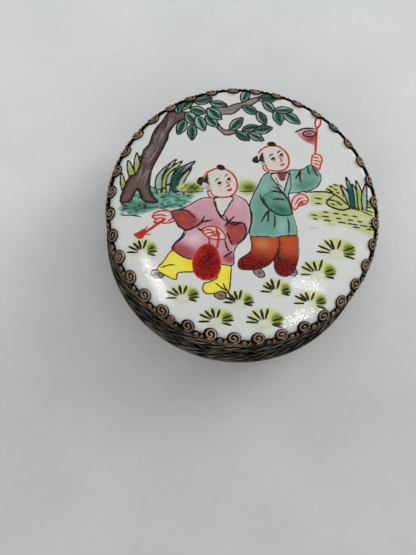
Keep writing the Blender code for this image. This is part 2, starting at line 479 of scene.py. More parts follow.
places = points_of(base.data)
radius = np.hypot(places[:, 0], places[:, 1])
on_wall = np.abs(radius - wall_radius) < 0.1 * near_enough
on_wall &= (places[:, 2] > vine_low - near_enough) & (places[:, 2] < vine_high + near_enough)
angle = np.arctan2(places[on_wall, 1], places[on_wall, 0]) - vine_start
along = np.mod(angle, 2 * math.pi / vine_waves) * wall_radius / MM
relief = vine_height_at(np.column_stack([along, places[on_wall, 2] / MM - vine_middle])) * MM
places[on_wall, :2] *= (1 + relief / wall_radius)[:, None]
move_points(base.data, places)

wear = relief_wear(places, vine_relief * MM)
foot_plate = radius > wall_radius + 0.5 * MM
wear[foot_plate] = 0.55
note_wear(base, wear)
print("the vine stands", round(relief.max() / MM, 2), "mm out of the wall")

# %% [markdown]
# ## The two twisted wires
#
# A wire round the foot and one round the lid's lower edge hide the joints. Each is two strands twisted
# together. A twisted strand is a helix bent into a ring: a curve through points worked out from two
# turns, one round the box and one, much faster, round the wire's own middle. A curve's bevel gives it
# its thickness, and it is made a mesh at the end.
#
# The frame's plain rings stand a clearance off what they touch. The wires that show are soldered on, so
# each lies against the wall, and the foot wire also on the foot plate. A thin ring of solder behind each
# closes the hollows between its strands and the wall. It is highest at the wall and narrows outwards.

# %% A strand and its solder
twist_length = 6.5 * MM
points_per_twist = 20
strand_sides = 6
solder_steps = 180
solder_sunk = 0.05 * MM
solder_reach = 0.18 * MM
solder_half_height = 0.24 * MM
solder_half_crest = 0.14 * MM


def add_strand(bm, ring_radius, height, strand_radius, start):
    """Adds one strand to the bmesh: a curve along its helix, made a tube by its bevel."""
    twists = round(2 * math.pi * ring_radius / twist_length)
    steps = twists * points_per_twist
    curve_data = bpy.data.curves.new("strand", "CURVE")
    curve_data.dimensions = "3D"
    curve_data.bevel_depth = strand_radius
    curve_data.bevel_resolution = strand_sides // 2 - 2
    spline = curve_data.splines.new("POLY")
    spline.points.add(steps - 1)
    spline.use_cyclic_u = True
    for i, point in enumerate(spline.points):
        round_box = 2 * math.pi * i / steps
        round_wire = twists * round_box + start
        radius = ring_radius + strand_radius * math.cos(round_wire)
        rise = strand_radius * math.sin(round_wire)
        point.co = (radius * math.cos(round_box), radius * math.sin(round_box), height + rise, 1)
    holder = bpy.data.objects.new("strand", curve_data)
    mesh = bpy.data.meshes.new_from_object(holder)
    bm.from_mesh(mesh)
    bpy.data.objects.remove(holder)
    bpy.data.curves.remove(curve_data)
    bpy.data.meshes.remove(mesh)


def solder_profile(wall, height):
    inner = wall - solder_sunk
    crest = wall + solder_reach
    return [(inner, height - solder_half_height), (crest, height - solder_half_crest),
            (crest, height + solder_half_crest), (inner, height + solder_half_height)]


print("a strand makes one twist in about", twist_length / MM, "mm")


# %% The two wires
def twisted_wire(name, node, low, high, drop=0.0):
    """A wire in the place of the frame's ring between low and high, moved down by drop."""
    height = (low.z + high.z) / 2 - drop
    ring_radius = high.x - clearance - wire_radius
    bm = turn_profile(solder_profile(ring_radius - wire_radius, height), solder_steps, closed=True)
    for start in (0, math.pi):
        add_strand(bm, ring_radius, height, wire_radius / 2, start)
    piece = finish_piece(name, bm, wire_metal, [node], sharp=80 * DEGREE)
    places = points_of(piece.data)
    out = np.hypot(np.hypot(places[:, 0], places[:, 1]) - ring_radius, places[:, 2] - height)
    note_wear(piece, 0.75 * out / wire_radius - 0.1)


twisted_wire("twisted_foot_wire", "foot_wire", foot_wire_low, foot_wire_high, drop=clearance)
twisted_wire("twisted_lid_wire", "lid_wire", lid_wire_low, lid_wire_high)

# %% [markdown]
# ## The lid's shell
#
# The lid is a skirt closed by a plate. Round the skirt runs a knurled band: rows of tiny pyramids, as a
# knurling wheel rolls them. The band is turned with three rows of square faces, and poke raises the
# middle of each face to a point.

# %% Knurled lid
plate_thickness = 0.7 * MM
band_height = 1.5 * MM
band_gap = 0.8 * MM
band_rows = 3
band_bead = 0.16 * MM
band_bead_gap = 0.35 * MM
shell_steps = 360
knurl_height = 0.2 * MM
band_bottom = lid_wire_high.z + ring_flat + band_gap
band_top = band_bottom + band_height
band_face = wall_radius + band_relief - knurl_height
lid_top = plaque_low.z - clearance
lid_inside = lid_top - plate_thickness
band_grid = [(band_face, band_bottom + band_height * i / band_rows) for i in range(band_rows + 1)]
shell_profile = (
    [(0, lid_top), (wall_radius - sheet_edge, lid_top), (wall_radius, lid_top - sheet_edge)]
    + bead_round(wall_radius, band_top + band_bead_gap, band_bead)[::-1]
    + band_grid[::-1]
    + bead_round(wall_radius, band_bottom - band_bead_gap, band_bead)[::-1]
    + [(wall_radius, shell_low.z + sheet_edge), (wall_radius - sheet_edge, shell_low.z)]
    + [(wall_inside + sheet_edge, shell_low.z), (wall_inside, shell_low.z + sheet_edge)]
    + [(wall_inside, lid_inside - corner_round), (wall_inside - corner_round, lid_inside), (0, lid_inside)]
)
bm = turn_profile(shell_profile, shell_steps)
bmesh.ops.remove_doubles(bm, verts=bm.verts, dist=merge_distance)
bmesh.ops.recalc_face_normals(bm, faces=bm.faces)
knurls = []
for face in bm.faces:
    middle = face.calc_center_median()
    if band_bottom < middle.z < band_top and math.hypot(middle.x, middle.y) > wall_radius:
        knurls.append(face)
bmesh.ops.poke(bm, faces=knurls, offset=knurl_height)
lid = finish_piece("knurled_lid", bm, dark_metal, ["lid_shell"], sharp=25 * DEGREE)
note_wear(lid, relief_wear(points_of(lid.data), band_relief))
print(len(knurls), "pyramids in the knurled band")

# %% [markdown]
# ## The border of coils
#
# The strip round the top of the lid carries wire scrolls that fold over the plaque's edge and hold it:
# large coils, and between them a small curl and a comma. A scroll's spiral can be drawn with half
# circles whose centres step to and fro, as a draughtsman draws one, and that is what spin does best. So
# the wire's section starts as a small loop of edges, each spin sweeps it half a turn, and the last edges
# are the start of the next half turn, with a smaller radius.
#
# Every scroll is drawn flat, with x across and y up the slope, and then laid on the slope at its place
# round the lid. A large coil is first turned a little askew and bent over the lid's edge, because coils
# that are bent by hand never lie quite alike.

# %% The slope that the coils lie on
coil_lean = 50 * DEGREE
coil_diameter = 3.0 * MM
coil_end_radius = border_high.x
coil_end_height = border_high.z - coil_diameter * math.sin(coil_lean)


def slope_matrix(angle, lean=coil_lean, foot_radius=coil_end_radius, foot_height=coil_end_height):
    """Carries a flat drawing (across, up, out) to the slope at this angle round the box."""
    outwards = Vector((math.cos(angle), math.sin(angle), 0))
    upwards = Vector((0, 0, 1))
    up = upwards * math.sin(lean) - outwards * math.cos(lean)
    out = upwards * math.cos(lean) + outwards * math.sin(lean)
    across = Vector((-math.sin(angle), math.cos(angle), 0))
    foot = outwards * foot_radius + upwards * foot_height
    return Matrix.Translation(foot) @ Matrix((across, up, out)).transposed().to_4x4()


print("a coil stands", round(coil_end_height / MM, 2), "mm above the table at its foot")

# %% One scroll of wire
wire_width = 0.46 * MM
wire_depth = 0.34 * MM
wire_shoulder = 0.42 * wire_depth
wire_crown = 0.08 * wire_depth
knob_depth = 0.2 * MM
half_turn_steps = 9


def edges_in(parts):
    return [part for part in parts if isinstance(part, bmesh.types.BMEdge)]


def corners_of(edges):
    return list({vert for edge in edges for vert in edge.verts})


def wire_section(bm, y, width):
    """The wire's half-round section where a scroll starts, square to the X axis and with its middle at y."""
    half = width / 2
    outline = [(-half, -wire_depth), (-half, -wire_shoulder), (-0.5 * half, -wire_crown),
               (0.5 * half, -wire_crown), (half, -wire_shoulder), (half, -wire_depth)]
    corners = [bm.verts.new((0, y + up, out)) for up, out in outline]
    return [bm.edges.new((corners[i - 1], corners[i])) for i in range(len(corners))]


def half_turns(bm, edges, y, radii, narrow):
    """Sweeps the section through half circles that start at y and step to and fro in Y. Each makes the wire
    this much narrower. Gives the last edges and where they are."""
    for i, radius in enumerate(radii):
        side = 1 if i % 2 == 0 else -1
        swept = bmesh.ops.spin(
            bm,
            geom=edges,
            cent=(0, y + side * radius, 0),
            axis=(0, 0, 1),
            angle=math.pi,
            steps=half_turn_steps,
        )
        edges = edges_in(swept["geom_last"])
        y += 2 * side * radius
        if narrow != 1.0:
            bmesh.ops.scale(bm, vec=(1, narrow, narrow), verts=corners_of(edges),
                            space=Matrix.Translation((0, -y, wire_depth)))
    return edges, y


print("the wire of a coil is", wire_width / MM, "mm wide")


# %% Coil, curl and comma
def scroll(foot, radii, width, knob=0.0, narrow=1.0):
    """A flat scroll that starts a little up the slope and curls inwards, with a round knob at its heart."""
    bm = bmesh.new()
    first = wire_section(bm, foot + width / 2, width)
    last, y = half_turns(bm, first, foot + width / 2, radii, narrow)
    for end in (first, last):
        bmesh.ops.contextual_create(bm, geom=end)
    if knob:
        ball = bmesh.ops.create_uvsphere(bm, u_segments=10, v_segments=6, radius=knob)
        bmesh.ops.scale(bm, vec=(1, 1, 0.7), verts=ball["verts"])
        bmesh.ops.translate(bm, vec=(0, y, -knob_depth), verts=ball["verts"])
    return bm


def add_backing(bm, y, radius, low, high):
    """A thin dished disc under a coil, dark: partly tarnish, partly painted shade in the spiral's gaps and
    round the coil's edge.
    """
    disc = bmesh.ops.create_cone(
        bm, cap_ends=True, segments=20, radius1=radius, radius2=0.86 * radius, depth=high - low)
    bmesh.ops.translate(bm, vec=(0, y, (low + high) / 2), verts=disc["verts"])


coil = scroll(0.14 * MM, [1.17 * MM, 0.88 * MM, 0.46 * MM], wire_width, knob=0.34 * MM)
add_backing(coil, coil_diameter / 2, coil_diameter / 2, -0.5 * MM, -0.22 * MM)
coil_mesh = mesh_from("coil", coil)

curl = scroll(0, [0.44 * MM, 0.24 * MM], 0.32 * MM, knob=0.18 * MM)
add_backing(curl, 0.6 * MM, 0.56 * MM, -0.56 * MM, -0.28 * MM)
curl_mesh = mesh_from("curl", curl)

comma_mesh = mesh_from("comma", scroll(0, [0.4 * MM], 0.52 * MM, narrow=0.45))
print("a coil has", len(coil_mesh.polygons), "faces and a curl", len(curl_mesh.polygons))

# %% Bending and laying a scroll
coil_count = 36
joint_angle = 239 * DEGREE
joint_room = 12.1 * DEGREE
pitch = (2 * math.pi - joint_room) / (coil_count - 1)
first_coil = joint_angle + joint_room / 2
turn_per_length = 1 / (coil_end_radius - coil_diameter / 2)
coil_bend = 16 * DEGREE
chord_lean = 46 * DEGREE
steep = (66 * DEGREE, coil_end_radius, coil_end_height - 0.5 * MM)
curl_place = 2.1 * MM
comma_place = 3.0 * MM
polish_spread = 0.36
askew_spread = 60 * DEGREE
dark_below = 0.25 * MM

uneven = np.random.default_rng(3)
border = bmesh.new()
wear_and_shade = border.verts.layers.float.new("wear")


def bent(point):
    """Where a point of a flat coil goes when the coil is bent over the lid's edge, steep at its foot and
    flatter above."""
    turn = coil_bend * (1 - 2 * point.y / coil_diameter)
    radius = coil_diameter / (2 * coil_bend)
    up = radius * math.sin(coil_bend) - (radius + point.z) * math.sin(turn)
    out = (radius + point.z) * math.cos(turn) - radius * math.cos(coil_bend)
    return Vector((point.x, up, out))


def add_to_border(mesh):
    """Copies a mesh into the border, and gives the copy's points."""
    start = len(border.verts)
    border.from_mesh(mesh)
    border.verts.ensure_lookup_table()
    return border.verts[start:]


def lay(mesh, angle, across, scale=1.0, slope=(), bend=False):
    """Lays a copy of a flat drawing on the slope, polished a little more or less than the others. slope gives
    another lean, foot radius and foot height. A bent copy is also turned askew."""
    flat = Matrix.Diagonal((scale, scale, 1, 1))
    polish = polish_spread * (uneven.random() - 0.45)
    heart = Matrix.Translation((0, coil_diameter / 2, 0))
    askew = heart @ Matrix.Rotation(askew_spread * (uneven.random() - 0.5), 4, "Z") @ heart.inverted()
    laid = add_to_border(mesh)
    for vert in laid:
        # Deeper points get less wear. On the sunken backing discs this is tarnish and also painted shade in
        # the coils' gaps and round their edges.
        vert[wear_and_shade] = 1.05 + polish + vert.co.z / dark_below
        if bend:
            vert.co = bent(askew @ vert.co)
    on_slope = slope_matrix(angle + across * turn_per_length, *slope)
    bmesh.ops.transform(border, matrix=on_slope @ flat, verts=laid)


print("neighbouring coils are", round(pitch / DEGREE, 2), "degrees apart")

# %% Lay the scrolls round the lid
for i in range(coil_count):
    angle = first_coil + i * pitch
    lay(coil_mesh, angle, 0, slope=(chord_lean,), bend=True)
    if i < coil_count - 1:
        lay(curl_mesh, angle, curl_place, scale=1.1, slope=steep)
        lay(comma_mesh, angle, comma_place, scale=1.1, slope=steep)
last_coil = first_coil + (coil_count - 1) * pitch
lay(coil_mesh, last_coil, 2.3 * MM, scale=0.6)
lay(comma_mesh, last_coil, 3.5 * MM, slope=steep)
print(coil_count, "large coils are laid, and the border has", len(border.verts), "points so far")

# %% The strip that carries them
border_wall = 0.4 * MM
border_radius = border_inner_radius + border_wall
strip_top = coil_end_height + 0.05 * MM
strip_step = 0.5 * MM
lip = 0.22 * MM
rib_size = 0.17 * MM
rib_pitch = 0.62 * MM
rib_count = 4
lowest_rib = border_low.z + rib_size + 0.05 * MM

strip_profile = [(border_inner_radius, border_low.z), (border_radius, border_low.z)]
for i in range(rib_count):
    strip_profile += bead_round(border_radius, lowest_rib + i * rib_pitch, rib_size)
strip_profile += [(border_radius, strip_top), (border_radius - lip, strip_top)]
strip_profile += [(border_radius - lip, strip_top - strip_step)]
strip_profile += [(border_inner_radius, strip_top - strip_step)]
strip_mesh = mesh_from("strip", turn_profile(strip_profile, shell_steps, closed=True))
for vert in add_to_border(strip_mesh):
    vert[wear_and_shade] = -0.12 + 0.7 * (math.hypot(vert.co.x, vert.co.y) - border_radius) / rib_size
finish_piece("coiled_border", border, scroll_metal, ["scroll_border"],
             sharp=45 * DEGREE, merge=0.0001 * MM)
for spare in (coil_mesh, curl_mesh, comma_mesh, strip_mesh):
    bpy.data.meshes.remove(spare)

# %% [markdown]
# ## The porcelain plaque
#
# The plaque is a shallow dome with a rounded edge that lies under the coils. The picture is painted on
# its points, so they have to lie close and evenly. A turned dome would crowd them at the middle. Here a
# square grid is pulled round instead: its square rings become circles, and all its cells keep one size.
# Then the rim is extruded down and under, ring by ring.

# %% A square grid pulled round
rim_width = 1.1 * MM
edge_rise = 0.8 * MM
edge_tuck = 0.25 * MM
under_edge = 0.2 * MM
underside_width = 2.4 * MM
plaque_thickness = 2.4 * MM
rim_radius = plaque_high.x - rim_width
edge_height = plaque_low.z + edge_rise
rim_height = edge_height + rim_width * math.tan(coil_lean)
dome_rise = plaque_high.z - rim_height
dome_power = 2.4
grid_cells = 288


def pull_round(x, y):
    """Where a point of a square from -1 to 1 goes when its square rings become circles."""
    if abs(x) < 1e-9 and abs(y) < 1e-9:
        return 0.0, 0.0
    if abs(x) > abs(y):
        return x * math.cos(math.pi / 4 * y / x), x * math.sin(math.pi / 4 * y / x)
    return y * math.sin(math.pi / 4 * x / y), y * math.cos(math.pi / 4 * x / y)


def dome_height(radius):
    return plaque_high.z - dome_rise * (radius / rim_radius) ** dome_power


bm = bmesh.new()
bmesh.ops.create_grid(bm, x_segments=grid_cells, y_segments=grid_cells, size=1.0)
for vert in bm.verts:
    x, y = pull_round(vert.co.x, vert.co.y)
    vert.co = (x * rim_radius, y * rim_radius, dome_height(math.hypot(x, y) * rim_radius))
print("the dome rises", round(dome_rise / MM, 2), "mm above its rim")

# %% The plaque's edge and underside
under_height = plaque_high.z - plaque_thickness
rim_rings = []
for i in range(1, 7):
    angle = i * 15 * DEGREE
    ring_height = rim_height - (rim_height - edge_height + edge_tuck) * (1 - math.cos(angle))
    rim_rings.append((rim_radius + rim_width * math.sin(angle), ring_height))
rim_rings += [(plaque_high.x, plaque_low.z + under_edge), (plaque_high.x - under_edge, plaque_low.z)]
rim_rings += [(plaque_high.x - underside_width, plaque_low.z), (0.4 * rim_radius, under_height)]

ring = [edge for edge in bm.edges if edge.is_boundary]
for ring_radius, ring_height in rim_rings:
    grown = bmesh.ops.extrude_edge_only(bm, edges=ring)["geom"]
    ring = [edge for edge in edges_in(grown) if edge.is_boundary]
    for vert in corners_of(ring):
        turn = math.atan2(vert.co.y, vert.co.x)
        vert.co = (ring_radius * math.cos(turn), ring_radius * math.sin(turn), ring_height)
grown = bmesh.ops.extrude_edge_only(bm, edges=ring)["geom"]
heart = [part for part in grown if isinstance(part, bmesh.types.BMVert)]
bmesh.ops.pointmerge(bm, verts=heart, merge_co=(0, 0, under_height))
print("the plaque has", len(bm.faces), "faces, and the grid's cells are about",
      round(math.sqrt(math.pi) * rim_radius / grid_cells / MM, 2), "mm wide")

# %% [markdown]
# ## The painter's tools
#
# The picture is enamel on white glaze: flat washes that deepen towards one side, with fine outlines in
# black or in iron red. It is worked out on the points of the plaque, in three layers. `paint` holds a
# colour for each point. The other two hold distances in mm to the nearest line, negative inside it, so
# that the material can draw a line's edge much sharper than the mesh is fine. A new wash covers what lies
# under it, lines too, just as a shape in front hides those behind it.
#
# The picture is drawn in mm, from the middle of the lid, with y towards its top.

# %% Layers and colours
picture_scale = np.array([0.995, 0.987])
picture_shift = np.array([-0.2, 0.23])
porcelain_white = 0.63
porcelain_seen = 0.68
line_weight = 1.25


def seen(red, green, blue):
    """The paint that looks like this colour (0 to 255) beside the white of the porcelain."""
    share = np.array([red, green, blue]) / 255
    light = np.where(share > 0.04045, ((share + 0.055) / 1.055) ** 2.4, share / 12.92)
    return light * porcelain_white / porcelain_seen


bm.verts.ensure_lookup_table()
plan = np.array([(vert.co.x, vert.co.y) for vert in bm.verts]) / MM
plan = (plan - picture_shift) / picture_scale
underneath = np.array([vert.co.z < plaque_low.z + 0.1 * MM for vert in bm.verts])
plan[underneath] = 1000
porcelain = seen(215, 217, 213)
paint = np.tile(porcelain, (len(plan), 1))
ink = np.full(len(plan), 1.0)
iron_red = np.full(len(plan), 1.0)
print("the picture is painted on", len(plan), "points")

# %% Palette
leaf_deep = seen(4, 84, 66)
leaf_pale = seen(150, 180, 168)
bark = seen(106, 86, 82)
bark_pale = seen(152, 136, 132)
bark_deep = seen(50, 32, 30)
ground_teal = seen(122, 178, 162)
ground_green = seen(194, 198, 138)
grass_pale = seen(202, 206, 138)
grass_green = seen(164, 180, 70)
grass_vivid = seen(148, 166, 42)
grass_dark = seen(66, 90, 20)
robe_teal = seen(110, 158, 144)
robe_teal_deep = seen(28, 92, 74)
robe_teal_pale = seen(156, 192, 182)
robe_pink = seen(203, 152, 162)
robe_rose = seen(160, 58, 66)
robe_blush = seen(226, 198, 202)
neck_rose = seen(134, 60, 64)
cuff_red = seen(160, 62, 62)
cuff_warm = seen(172, 88, 54)
trouser_orange = seen(188, 80, 38)
trouser_rust = seen(160, 56, 26)
trouser_pale = seen(208, 132, 94)
trouser_red = seen(110, 6, 0)
trouser_yellow = seen(240, 232, 84)
trouser_gold = seen(238, 212, 4)
drum_red = seen(118, 0, 0)
drum_glow = seen(176, 26, 8)
drum_rim = seen(186, 44, 18)
skin = seen(214, 208, 200)
blush = seen(220, 176, 160)
shoe = seen(150, 132, 126)
line_black = seen(42, 28, 24)
line_red = seen(186, 52, 28)
print("the darkest paint reflects", round(float(line_black.mean()), 3), "and the porcelain", porcelain_white)

# %% Washes and shades
soft_edge = 0.2


def lay_tone(near, share, tone):
    """Mixes a tone, or one for each point, into the paint of some points."""
    paint[near] += share[:, None] * (tone - paint[near])


def outlined(outline, reach):
    """The points near an outline, and how far each is from it, negative inside."""
    near, distance, _, inside = measure(plan, smooth_path(outline, True), True, reach)
    return near, np.where(inside, -distance, distance)


def kept_inside(outline):
    """The points near an outline, and for each a share that falls to 0 across its edge."""
    near, signed = outlined(outline, soft_edge)
    return near, np.clip(0.5 - signed / soft_edge, 0, 1)


def cover(near, signed, soft, tones, hides=True):
    """Lays colours over the points near a shape. signed is the distance to its edge, negative inside."""
    lay_tone(near, np.clip(0.5 - signed / (2 * soft), 0, 1), tones)
    if hides:
        for lines in (ink, iron_red):
            lines[near] = np.maximum(lines[near], -signed)


def wash(outline, tone, deep=None, depth=0.8, soft=0.1, hides=True):
    """Fills an outline with a tone, deeper along its edge if a deep tone is given."""
    near, signed = outlined(outline, 2 * soft)
    tones = np.tile(tone, (len(near), 1))
    if deep is not None:
        tones += np.exp(-np.abs(signed) / depth)[:, None] * (deep - tone)
    cover(near, signed, soft, tones, hides)


def shade(x, y, length, width, lean, tone, strength, within=None):
    """A soft oval of another tone, kept inside an outline if one is given."""
    near, edge = (slice(None), 1) if within is None else kept_inside(within)
    turn = lean * DEGREE
    away = plan[near] - (x, y)
    along = (away @ (math.cos(turn), math.sin(turn))) / length
    across = (away @ (-math.sin(turn), math.cos(turn))) / width
    lay_tone(near, strength * np.exp(-1.5 * (along**2 + across**2)) * edge, tone)


def shades(within, ovals):
    """Shades inside one outline, each as (x, y, length, width, lean, tone, strength)."""
    for values in ovals:
        shade(*values, within)


def fade(start, end, tone, within, strength=1.0):
    """A tone that grows from nothing at one point to its full strength at another, inside an outline."""
    near, edge = kept_inside(within)
    run = np.subtract(end, start)
    along = np.clip((plan[near] - start) @ run / (run @ run), 0, 1)
    lay_tone(near, strength * edge * along**2 * (3 - 2 * along), tone)


print("a shade fades out over", soft_edge, "mm at an outline")


# %% Brush strokes
def dab(points, width, tone, strength, soft=0.18):
    """A soft stroke of colour, without an outline."""
    near, distance, along, _ = measure(plan, smooth_path(points), False, width)
    pressed = 1 - 0.8 * np.abs(2 * along - 1) ** 3
    lay_tone(near, strength * np.clip(0.5 - (distance - width / 2 * pressed) / (2 * soft), 0, 1), tone)


def stroke(points, width=0.3, pigment=ink, taper=0.55, closed=False, start=1.0):
    """A brush line, thinner towards its ends. start is its thickness where it begins, from 0 to 1."""
    near, distance, along, _ = measure(plan, smooth_path(points, closed), closed, width)
    pressed = 1 - (0 if closed else taper) * np.abs(2 * along - 1) ** 3
    pressed *= start + (1 - start) * np.minimum(1, 1.6 * along)
    pigment[near] = np.minimum(pigment[near], distance - line_weight * width / 2 * pressed)


def strokes(lines, width, **how):
    for points in lines:
        stroke(points, width, **how)


def blot(outline, pigment=ink):
    """A shape filled with one of the line pigments, such as a knot of hair."""
    near, signed = outlined(outline, 0.4)
    pigment[near] = np.minimum(pigment[near], signed)


print("brush lines are drawn", line_weight, "times as heavy as their widths say")

# %% Placed shapes and ovals
oval_points = 10


def placed(points, x, y, lean=0.0, size=1.0, wide=1.0):
    """Points drawn round (0, 0), scaled, turned and moved to (x, y)."""
    turn = lean * DEGREE
    return [(x + size * (wide * u * math.cos(turn) - v * math.sin(turn)),
             y + size * (wide * u * math.sin(turn) + v * math.cos(turn))) for u, v in points]


def oval(x, y, length, width, lean=0.0):
    turns = [2 * math.pi * i / oval_points for i in range(oval_points)]
    return placed([(length * math.cos(t), width * math.sin(t)) for t in turns], x, y, lean)


def tell(what):
    """Says what was painted, and how much of the plaque the lines cover by now."""
    print(what, "painted. Lines lie on", int(((ink < 0) | (iron_red < 0)).sum()), "points so far")


print("an oval is drawn through", oval_points, "points")

# %% [markdown]
# ### The tree, its leaves and the ground behind
#
# What lies behind is painted first. A leaf is one outline used again and again: an almond with a dark
# edge, deep green laid down its pale middle, and a vein. A blade of grass is a wash that widens and
# narrows along a curve. Bark and mossy ground are many short strokes, scattered by a random generator
# with a fixed seed, so that they fall the same way each time.

# %% Leaves, blades and short strokes
leaf_shape = [(0, 0), (0.22, 0.2), (0.55, 0.26), (0.85, 0.13), (1, 0),
              (0.85, -0.13), (0.55, -0.26), (0.22, -0.2)]
leaf_line = 0.27
scatter = np.random.default_rng(7)


def leaf(x, y, direction, length, wide=1.0):
    """An almond, pale at its edges, with deep green down its middle, more on some leaves than on others."""
    def on_leaf(points):
        return placed([(u, wide * v) for u, v in points], x, y, direction, length)

    side = 0.1 * (scatter.random() - 0.5)
    deep_width = (0.22 + 0.2 * scatter.random()) * wide * length
    low_strength = 0.8 * scatter.random()
    outline = on_leaf(leaf_shape)
    wash(outline, leaf_pale)
    dab(on_leaf([(0.1, side), (0.5, side), (0.92, 0.4 * side)]), deep_width, leaf_deep, 0.97, soft=0.12)
    dab(on_leaf([(0.3, -0.15), (0.6, -0.16), (0.8, -0.08)]), 0.12 * wide * length, leaf_deep, low_strength)
    stroke(outline, leaf_line, closed=True)
    stroke(on_leaf([(0.04, 0), (0.5, 0.03), (0.88, 0)]), leaf_line, taper=0.7)


def blade(points, tone, width):
    """A pointed blade of grass, from its root to its tip, with a thick dark edge on both sides."""
    near, distance, along, _ = measure(plan, smooth_path(points), False, width)
    half = 1.1 * width * np.sqrt(along + 0.02) * (1 - along) ** 0.8
    pale = np.clip(1.6 * along - 0.9, 0, 0.7)[:, None]
    cover(near, distance - half, 0.1, tone + pale * (porcelain - tone))
    edge = np.abs(distance - half) - 0.17
    ink[near] = np.minimum(ink[near], np.where((along > 0.001) & (along < 0.999), edge, ink[near]))


def hatch(points, spacing, length, lean):
    """Short strokes that start on a smooth line, evenly spaced, and go off at an angle to its run."""
    path = smooth_path(points, steps=24)
    run = np.hypot(*np.diff(path, axis=0).T)
    places = np.concatenate([[0], np.cumsum(run)])
    for place in np.arange(0.3, places[-1], spacing):
        i = min(np.searchsorted(places, place), len(path) - 1)
        x, y = path[i]
        way = math.atan2(*(path[i] - path[i - 1])[::-1]) + lean * DEGREE
        reach = length * (0.6 + 0.6 * scatter.random())
        stroke([(x, y), (x + reach * math.cos(way), y + reach * math.sin(way))], 0.2)


print("a leaf is drawn through", len(leaf_shape), "points")

# %% The ground under the tree
left_ground = [(-26.4, -0.6), (-22.5, 3.0), (-19.5, 4.0), (-16.2, 3.2), (-13.6, 2.4), (-10.6, 1.8),
               (-11.4, 0.8), (-13.4, -0.8), (-18.0, -1.2), (-22.5, -2.3), (-25.6, -1.4)]
wash(left_ground, ground_teal, soft=0.35)
shades(left_ground, [
    (-22.0, -0.6, 4.5, 1.6, 5, leaf_deep, 0.75),
    (-16.5, 2.2, 2.4, 0.8, -8, leaf_deep, 0.45),
])
for i in range(150):
    x = -26.0 + 15.0 * scatter.random()
    y = 0.5 + 5.0 * (scatter.random() - 0.5) + 0.16 * (x + 19)
    if i % 3:
        dab([(x - 0.5, y), (x, y + 0.1), (x + 0.5, y)], 0.34, leaf_deep, 0.75)
    elif abs(y - 0.6 - 0.12 * (x + 19)) < 2.0:
        stroke([(x - 0.3, y - 0.05), (x, y + 0.04), (x + 0.35, y)], 0.24)
stroke([(-26.0, -2.4), (-23.6, -2.5), (-21.6, -2.9)], 0.24)
tell("the ground under the tree is")

# %% Trunk and branches
trunk = [(-26.2, 0.8), (-25.2, 4.6), (-24.1, 6.6), (-22.8, 7.4), (-22.0, 10.0), (-21.4, 12.8), (-20.2, 14.4),
         (-19.2, 17.6), (-17.4, 20.2), (-16.4, 22.0), (-15.6, 22.6), (-12.3, 22.4), (-12.0, 21.2),
         (-14.6, 19.4),
         (-16.1, 17.0), (-16.4, 15.4), (-18.2, 11.4), (-19.7, 8.0), (-20.1, 4.6), (-19.6, 2.2), (-18.4, 0.4),
         (-21.2, 0.8), (-22.6, 3.4), (-24.2, 0.9)]
top_branch = [(-6.6, 22.2), (-2.3, 22.0), (0.0, 23.8), (2.6, 24.8), (4.6, 26.8), (2.0, 26.2), (0.2, 25.2),
              (-1.7, 24.6), (-3.5, 23.8), (-6.4, 24.0)]
twig = [(-5.6, 19.9), (-4.6, 18.5), (-3.8, 17.9), (-1.4, 17.9), (-1.6, 17.2), (-3.0, 16.6), (-4.2, 16.9),
        (-6.0, 19.0)]

for branch in (top_branch, twig):
    wash(branch, bark_pale, bark, depth=0.3)
    stroke(branch, 0.26, closed=True)
dab([(-4.6, 23.0), (-2.2, 23.2), (0.2, 24.6)], 0.5, leaf_deep, 0.5)
for points, width in (
    ([(-21.8, 7.4), (-22.1, 9.6), (-22.0, 11.6)], 1.1),
    ([(-22.2, 5.6), (-22.8, 9.0), (-22.9, 12.4)], 1.5),
    ([(-23.0, 4.8), (-24.1, 7.8), (-24.8, 10.6)], 1.5),
    ([(-24.8, 1.8), (-25.7, 4.8), (-26.1, 7.6)], 1.2),
):
    blade(points, grass_green, width)
wash(trunk, bark, bark_deep, depth=0.35)
for i in range(90):
    share = scatter.random()
    x, y = np.array((-21.6, 4.6)) * (1 - share) + np.array((-15.6, 21.2)) * share
    x += 2.6 * (scatter.random() - 0.5) - 1.2 * math.sin(math.pi * share)
    tone = bark_pale if i % 2 else bark_deep
    dab([(x - 0.5, y - 1.2), (x, y), (x + 0.4, y + 1.2)], 0.22, tone, 0.7, soft=0.14)
stroke(trunk, 0.34, closed=True)
hatch([(-23.0, 7.4)] + trunk[4:9], 0.62, 0.8, -62)
hatch([(-15.2, 18.8)] + trunk[14:18] + [(-20.1, 5.0)], 0.62, 0.8, -62)
hatch([(-25.8, 2.4)] + trunk[1:3], 0.6, 0.7, -60)
stroke([(-24.2, 0.9), (-23.2, 2.6), (-22.5, 3.6), (-21.8, 2.4), (-21.2, 0.8)], 0.34)

tell("trunk and branches are")

